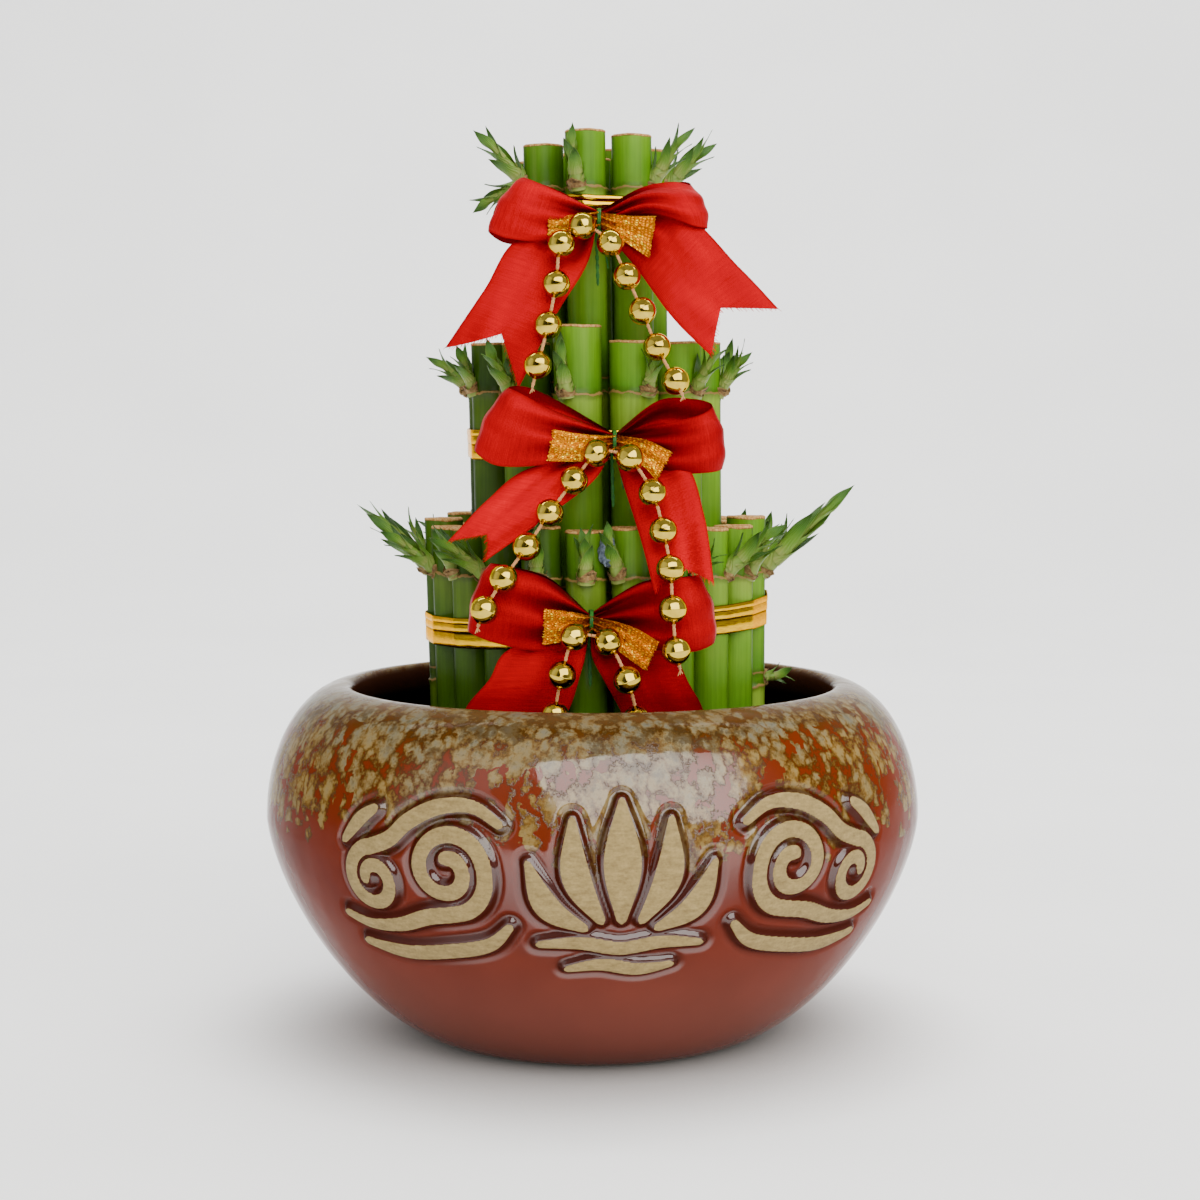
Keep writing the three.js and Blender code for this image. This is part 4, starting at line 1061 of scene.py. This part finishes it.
def build_pebbles(settings):
    """Pebbles on the bed, each an uneven flattened ball."""
    paint = grain_paint("pebbles")
    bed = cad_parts["pebble_bed"]
    bed.data.materials.clear()
    bed.data.materials.append(paint)
    shape = Shape()
    near, far = PEBBLE_REACH
    lat = np.linspace(-1.35, 1.35, 6)
    for i in range(PEBBLE_COUNT):
        reach = math.sqrt(near**2 + (far**2 - near**2) * (i + 0.5) / PEBBLE_COUNT)
        radius = settings.pebble / MM / 2 * (0.75 + 0.45 * chance(i, 1))
        ball = ring_points(np.sin(lat), np.cos(lat), around(9))
        bumps = 1 + 0.12 * np.sin(3 * ball[..., :1] + i) + 0.1 * np.cos(4 * ball[..., 1:2] - i)
        ball = ball * bumps * radius * np.array([1, 0.8 + 0.2 * chance(i, 2), 0.55])
        ball = turned_about(ball, 7 * chance(i, 3))
        level = PEBBLE_Z + PEBBLE_RISE * (PEBBLE_WALL - reach) + 0.8 * chance(i, 4)
        turn = i * GOLDEN_ANGLE
        ball += [reach * math.sin(turn), reach * math.cos(turn), level]
        shape.grid(ball, 0, True, tone=chance(i, 5) ** 3)
    attach(shape.make("bed_pebbles", paint), "pebbles")


def hull_line(name, clearance, height):
    """The line of a band stretched round a tier's canes."""
    tier = TIERS[name]
    turn = np.radians(tier["first"] + 360 * np.arange(tier["count"]) / tier["count"])
    reach = tier["ring"] + tier["splay"] * (height - CANE_BASE_Z)
    swing = np.linspace(-0.5, 0.5, 9) * math.tau / tier["count"]
    angle = (turn[:, None] + swing[None, :]).ravel()
    base = np.repeat(turn, len(swing))
    size = tier["radius"] + clearance
    x = TOWER_X + TOWER_LEAN * (height - CANE_BASE_Z) + reach * np.sin(base) + size * np.sin(angle)
    return np.stack([x, -reach * np.cos(base) - size * np.cos(angle)], -1)


def build_bands():
    """Gold foil bands, each wound in three narrow turns."""
    paint = foil_paint()
    for name, (height, slope, tier_name) in BANDS.items():
        shape = Shape()
        for low, high, out in BAND_STRIPS:
            line = hull_line(tier_name, BAND_GAP + out, height)
            away = unit(line - line.mean(0))
            wave = 0.22 * np.sin(3 * around(len(line)) + 5 * out)
            rows = []
            for share, lift, _ in BAND_PROFILE:
                z = height + low + (high - low) * share + slope * line[:, 0] + wave
                rows.append(np.column_stack([line + away * lift, z]))
            sides = np.array([[side] for _, _, side in BAND_PROFILE])
            shape.grid(np.array(rows), 0, True, side=sides)
        if name == "top":
            shape.grid(np.array(BAND_FOLD), 0, side=np.array([[-0.6, 0.6]]))
        attach(shape.make(f"gold_band_{name}_foil", paint), "gold_band", f"gold_band_{name}")


def ribbon_grid(ribs, size, flat, bulge, seed, notch=0.0, closed=False):
    """A ribbon through ribs of two edge points each, pleated where they are closer than it is wide.

    Returns its points, and its fields: the run along it in millimetres, the side from -1 to 1, and
    the shade in the pleats.
    """
    fine = spline(np.reshape(ribs, (-1, 2, 3)), 240)
    along = lengths_along(fine.mean(1))
    share = np.linspace(0, 1, size[0])[:, None]
    across = np.linspace(0, 1, size[1])[None, :]
    v_cut = 1 - np.abs(2 * across - 1)
    place = share - notch * v_cut * share**4
    wanted = np.clip(place, 0, 1) * along[-1]
    edges = [[np.interp(wanted, along, fine[:, e, k]) for k in range(3)] for e in range(2)]
    low, high = np.array(edges).transpose(0, 2, 3, 1)
    points = low + (high - low) * across[..., None]
    step = unit(np.gradient(points, axis=0))
    normal = unit(np.cross(unit(high - low), step))
    crown = bulge * (1 - (2 * across - 1) ** 2) * np.sin(math.pi * np.clip(share, 0, 1)) ** 0.7
    chord = np.linalg.norm(high - low, axis=-1)
    spare = np.clip((flat / chord) ** 2 - 1, 0, None)
    depth = chord * np.sqrt(2 * spare) / (math.tau * PLEATS)
    pinch = np.clip(1 - np.minimum(share, 1 - share if closed else 1.0) / 0.42, 0, 1)
    phase = np.sin(math.tau * (PLEATS * across + 0.13 * seed))
    folds = np.minimum(depth, 0.2 + 1.6 * pinch**1.5) * phase
    valley = smooth(0.5 - 0.5 * phase * math.copysign(1, bulge))
    fields = {"run": wanted, "side": 2 * across - 1 + 0 * share,
              "shade": np.clip(pinch * (0.35 + 0.9 * valley), 0, 1)}
    return points + normal * (crown + folds)[..., None], fields


def add_fringe(shape, points, run, side, seed):
    """Short loose fibres along the cut end of a ribbon."""
    last = points[-1]
    step = unit(points[-1] - points[-2])
    for i in range(FRINGE_COUNT):
        place = (i + chance(i, seed)) / FRINGE_COUNT * (len(last) - 1)
        k = min(int(place), len(last) - 2)
        root = last[k] + (last[k + 1] - last[k]) * (place - k)
        wide = unit(last[k + 1] - last[k]) * 0.13
        tip = root + step[k] * (0.5 + 1.1 * chance(i, seed + 2)) + wide * 6 * (chance(i, seed + 4) - 0.5)
        back = root - step[k] * 0.3
        shape.grid(np.array([[back - wide, back + wide], [tip - wide * 0.4, tip + wide * 0.4]]), 0,
                   run=run[-1, k], side=side[-1, k])


def build_bows(settings):
    """Satin bows: two loops and two cut tails from each knot."""
    paint = satin_paint(settings.ribbon)
    flat = settings.ribbon / MM
    for seed, (name, bow) in enumerate(BOWS.items()):
        shape = Shape()
        for i, side in enumerate(SIDES):
            ribs = [bow["knot"], *bow[f"{side} loop"], bow["knot"]]
            points, fields = ribbon_grid(ribs, LOOP_GRID, flat, 2.0 - 4.0 * i, seed + i, closed=True)
            fields["shade"] = np.clip(fields["shade"] + bow["painted_shades"][i], 0, 1)
            shape.grid(points, 0, **fields)
        for i, side in enumerate(SIDES):
            ribs = [bow["knot"], *bow[f"{side} tail"]]
            points, fields = ribbon_grid(ribs, TAIL_GRID, flat, -0.8, seed + i + 3, bow["notches"][i])
            fields["shade"] = np.clip(fields["shade"] + bow["painted_shades"][i + 2], 0, 1)
            shape.grid(points, 0, **fields)
            add_fringe(shape, points, fields["run"], fields["side"], 10 * seed + i)
        made = attach(shape.make(f"satin_bow_{name}_cloth", paint), "satin", f"satin_bow_{name}")


def build_meshes(settings):
    """Gold glitter mesh ribbons pinched across the front of each knot."""
    paint = glitter_paint()
    rows, columns = MESH_GRID
    for seed, (name, bow) in enumerate(BOWS.items()):
        shape = Shape()
        knot = np.reshape(bow["knot"], (2, 3)) + [0, -3.4, 0]
        middle = knot.mean(0)
        knot = middle + (knot - middle) * 0.9
        rough = np.array([[chance(r * 7 + c, seed) for c in range(columns)] for r in range(rows)])
        for i, side in enumerate(SIDES):
            ribs = [knot.ravel(), *bow[f"{side} mesh"]]
            points, fields = ribbon_grid(ribs, MESH_GRID, settings.mesh_width / MM, 0.5, seed + i)
            turns = math.tau / 0.95
            wave = np.sin(fields["run"] * turns) * np.sin(fields["side"] * 6 * turns)
            points[..., 1] -= 0.22 * wave + 0.2 * rough
            points[-1] += 0.8 * (rough[-1][:, None] - 0.5) * unit(points[-1] - points[-3])
            fields["shade"] = np.clip(0.4 * fields["shade"] + bow["painted_shades"][4], 0, 1)
            shape.grid(points, 0, **fields)
        node = f"mesh_ribbon_{name}"
        made = attach(shape.make(f"{node}_glitter", paint), "gold_mesh", node)


def twisted_tube(shape, path, radius, twist, lobes):
    """A two-ply tube along a path."""
    tangent = unit(np.gradient(path, axis=0))
    first = unit(np.cross(tangent, [0.0, 1.0, 0.02]))
    second = np.cross(tangent, first)
    turn = around(12)[None, :]
    size = radius * (1 + lobes * np.cos(2 * (turn - math.tau * lengths_along(path)[:, None] / twist)))
    size[[0, -1]] *= 0.3
    shape.grid(path[:, None] + first[:, None] * (size * np.cos(turn))[..., None]
               + second[:, None] * (size * np.sin(turn))[..., None], 0, True)


def add_bead(shape, centre, axis, radius):
    """A plated bead with a raised seam at its equator and a small collar at each hole."""
    degrees = np.array(BEAD_RINGS)
    reach = radius * np.cos(np.radians(degrees))
    height = radius * np.sin(np.radians(degrees))
    height[np.abs(degrees) > COLLAR_ANGLE] *= 1.045
    reach = reach + SEAM * np.exp(-(degrees / SEAM_ANGLE) ** 2)
    reach[[0, -1]] = 0.0
    first = unit(np.cross(axis, [0.31, 1.0, 0.12]))
    second = np.cross(axis, first)
    turn = around(32)
    points = (centre + height[:, None, None] * axis + np.outer(reach, np.cos(turn))[..., None] * first
              + np.outer(reach, np.sin(turn))[..., None] * second)
    shape.grid(points, 0, True)


def build_beads(settings):
    """Beads on twisted thread, hanging down on both sides of each knot."""
    plate = plate_paint()
    thread = grain_paint("thread")
    for name, strand in STRANDS.items():
        start = (np.array(strand["left"][0]) + np.array(strand["right"][0])) / 2 + [0, 0, 1.2]
        for side, end in zip(SIDES, strand["ends"]):
            centres = np.array(strand[side], float)
            path = spline([start, *centres, end], THREAD_POINTS)
            beads = Shape()
            for centre in centres:
                near = int(np.argmin(np.linalg.norm(path - centre, axis=1)))
                axis = unit(path[min(near + 3, THREAD_POINTS - 1)] - path[max(near - 3, 0)])
                add_bead(beads, centre, axis, settings.bead / MM)
            balls = attach(beads.make(f"beads_{name}_{side}", plate), "beads")
            cord = Shape()
            twisted_tube(cord, path, settings.thread / MM / 2, THREAD_TWIST, 0.16)
            for i in range(3):
                stray = np.array([0.7 * (i - 1), -0.2, -1.7 + 0.3 * i])
                twisted_tube(cord, path[-1] + np.linspace(0, 1, 6)[:, None] * stray, 0.16, 2.0, 0.0)
            line = attach(cord.make(f"thread_{name}_{side}", thread), "beads", f"bead_strand_{name}")
            tuple(path[0] * MM)
            (path * MM).tolist()


def build_ties():
    """Green wire ties: turns round the pinched knot and a serrated tail behind it."""
    paint = grain_paint("wire_tie")
    for name, depth in TIE_DEPTHS.items():
        shape = Shape()
        x, y, z = np.reshape(BOWS[name]["knot"], (2, 3)).mean(0)
        front = y - 4.6
        turn = np.linspace(0, 2.3 * math.tau, 90)
        over = (front + depth) / 2 + (depth - front) / 2 * np.sin(turn)
        wrap = np.stack([x - 0.5 + 0.42 * turn / math.tau, over, z + 3.1 * np.cos(turn)], -1)
        twisted_tube(shape, wrap, 0.36, 3.0, 0.05)
        drop = np.linspace(0, 1, 40)
        flat = 0 * drop
        for side, tall in TIE_TAILS.items():
            across = x + side * (0.8 + 0.7 * drop) + 1.2 * drop
            spine = np.stack([across, depth + flat, z - 2 - tall * drop], -1)
            twist = 0.6 * drop + 0.4 * side
            wide = np.stack([np.cos(twist), 0.3 * np.sin(twist), flat], -1)
            tooth = 0.46 + 0.07 * np.sign(np.sin(drop * 40))
            tooth[-3:] *= [0.8, 0.5, 0.2]
            rows = [spine + wide * (tooth * s)[:, None] + [0, -0.12 * (1 - abs(s)), 0]
                    for s in (-1, -0.3, 0, 0.3, 1)]
            shape.grid(np.array(rows).transpose(1, 0, 2))
        attach(shape.make(f"wire_tie_{name}_wound", paint), "wire_tie", f"wire_tie_{name}")


def add_light(name, power, size, place, target, colour):
    """A rectangular soft light that points at a target. The top light isn't mirrored in the glaze."""
    data = bpy.data.lights.new(name, "AREA")
    data.shape = "RECTANGLE"
    data.energy = power
    data.size, data.size_y = size
    data.color = colour
    light = add_object(name, data)
    light.location = place
    aim = np.array(target) - np.array(place)
    light.rotation_euler = (math.atan2(math.hypot(aim[0], aim[1]), -aim[2]), 0, math.atan2(-aim[0], aim[1]))
    light.visible_glossy = name != "top"


def build_sweep():
    """The paper sweep: a floor that curves up into a wall."""
    turn = np.linspace(0, math.pi / 2, 14)[1:]
    curve = [(1100 + 900 * math.sin(a), 900 - 900 * math.cos(a)) for a in turn]
    line = np.array([(-3000.0, 0.0), (1100.0, 0.0), *curve, (2000.0, 3600.0)])
    across = np.tile(np.linspace(-3200, 3200, 3), (len(line), 1))
    shape = Shape()
    shape.grid(np.stack([across, np.repeat(line[:, :1], 3, 1), np.repeat(line[:, 1:], 3, 1)], -1))
    shape.make("studio_sweep", paper_paint())


def build_world():
    """A soft room, dark towards the camera and pale elsewhere."""
    world = bpy.data.worlds.new("soft_room")
    world.use_nodes = True
    nodes, links = world.node_tree.nodes, world.node_tree.links
    coords = nodes.new("ShaderNodeTexCoord")
    split = nodes.new("ShaderNodeSeparateXYZ")
    front = nodes.new("ShaderNodeMapRange")
    shade = nodes.new("ShaderNodeValToRGB")
    background = nodes["Background"]
    links.new(coords.outputs["Generated"], split.inputs[0])
    links.new(split.outputs["Y"], front.inputs["Value"])
    links.new(front.outputs["Result"], shade.inputs["Fac"])
    links.new(shade.outputs["Color"], background.inputs["Color"])
    front.inputs["From Min"].default_value = -0.95
    front.inputs["From Max"].default_value = -0.35
    shade.color_ramp.elements[0].color = (0.1, 0.095, 0.09, 1)
    shade.color_ramp.elements[1].color = (0.85, 0.86, 0.87, 1)
    background.inputs["Strength"].default_value = ROOM_STRENGTH
    bpy.context.scene.world = world


def build_stage(settings):
    """A pale paper sweep, soft lights and the camera."""
    build_sweep()
    powers = (settings.key_power, settings.fill_power, TOP_POWER, WALL_POWER)
    for (name, light), power in zip(LIGHTS.items(), powers):
        add_light(name, power, *light)
    build_world()
    data = bpy.data.cameras.new("camera")
    data.lens = settings.lens
    data.clip_start = 0.01
    camera = add_object("camera", data)
    camera.location = CAMERA_PLACE
    camera.rotation_euler = (math.pi / 2 - CAMERA_PITCH, 0, 0)
    bpy.context.scene.camera = camera


class BuildStage(bpy.types.Operator):
    """Build the paper sweep, the lights and the camera"""

    bl_idname = "bamboo.stage"
    bl_label = "Stage"

    def execute(self, context):
        build_stage(context.scene.bamboo_stage)
        return {"FINISHED"}


class BuildBeads(bpy.types.Operator):
    """Build the bead strands and their threads"""

    bl_idname = "bamboo.beads"
    bl_label = "Bead strands"

    def execute(self, context):
        build_beads(context.scene.bamboo_trim)
        return {"FINISHED"}


class BuildBowl(bpy.types.Operator):
    """Build the glazed bowl and its relief"""

    bl_idname = "bamboo.bowl"
    bl_label = "Bowl"

    def execute(self, context):
        build_bowl(context.scene.bamboo_bowl)
        return {"FINISHED"}


class BuildPebbles(bpy.types.Operator):
    """Build the pebbles in the bowl"""

    bl_idname = "bamboo.pebbles"
    bl_label = "Pebbles"

    def execute(self, context):
        build_pebbles(context.scene.bamboo_plant)
        return {"FINISHED"}


class BuildCanes(bpy.types.Operator):
    """Build the canes with their shoots, and the dried scrap"""

    bl_idname = "bamboo.canes"
    bl_label = "Canes"

    def execute(self, context):
        build_canes(context.scene.bamboo_plant)
        build_scrap()
        return {"FINISHED"}


class BuildBands(bpy.types.Operator):
    """Build the gold bands and the wire ties"""

    bl_idname = "bamboo.bands"
    bl_label = "Bands and ties"

    def execute(self, context):
        build_bands()
        build_ties()
        return {"FINISHED"}


class BuildBows(bpy.types.Operator):
    """Build the satin bows and the gold mesh ribbons"""

    bl_idname = "bamboo.bows"
    bl_label = "Bows"

    def execute(self, context):
        build_bows(context.scene.bamboo_trim)
        build_meshes(context.scene.bamboo_trim)
        return {"FINISHED"}


# Each group of settings, with its class and the operators that use it
GROUPS = {
    "bamboo_stage": (StageSettings, [BuildStage]),
    "bamboo_trim": (TrimSettings, [BuildBeads, BuildBands, BuildBows]),
    "bamboo_bowl": (BowlSettings, [BuildBowl]),
    "bamboo_plant": (PlantSettings, [BuildPebbles, BuildCanes]),
}


class BambooPanel(bpy.types.Panel):
    """Settings and buttons of the bamboo tower"""

    bl_idname = "VIEW3D_PT_bamboo"
    bl_label = "Lucky bamboo tower"
    bl_space_type = "VIEW_3D"
    bl_region_type = "UI"
    bl_category = "Bamboo"

    def draw(self, context):
        for group, (settings, operators) in GROUPS.items():
            box = self.layout.box()
            for name in settings.__annotations__:
                box.prop(getattr(context.scene, group), name)
            for operator in operators:
                box.operator(operator.bl_idname)


def register():
    """Registers the settings, the operators and the panel."""
    for name, (settings, operators) in GROUPS.items():
        bpy.utils.register_class(settings)
        setattr(bpy.types.Scene, name, PointerProperty(type=settings))
        for operator in operators:
            bpy.utils.register_class(operator)
    bpy.utils.register_class(BambooPanel)


def unregister():
    """Removes what register() added."""
    bpy.utils.unregister_class(BambooPanel)
    for name, (settings, operators) in GROUPS.items():
        for operator in operators:
            bpy.utils.unregister_class(operator)
        delattr(bpy.types.Scene, name)
        bpy.utils.unregister_class(settings)


def main():
    """Builds the whole tower."""
    register()
    bpy.ops.bamboo.stage()
    bpy.ops.bamboo.beads()
    bpy.ops.bamboo.bowl()
    bpy.ops.bamboo.pebbles()
    bpy.ops.bamboo.canes()
    bpy.ops.bamboo.bands()
    bpy.ops.bamboo.bows()


if __name__ == "__main__":
    main()
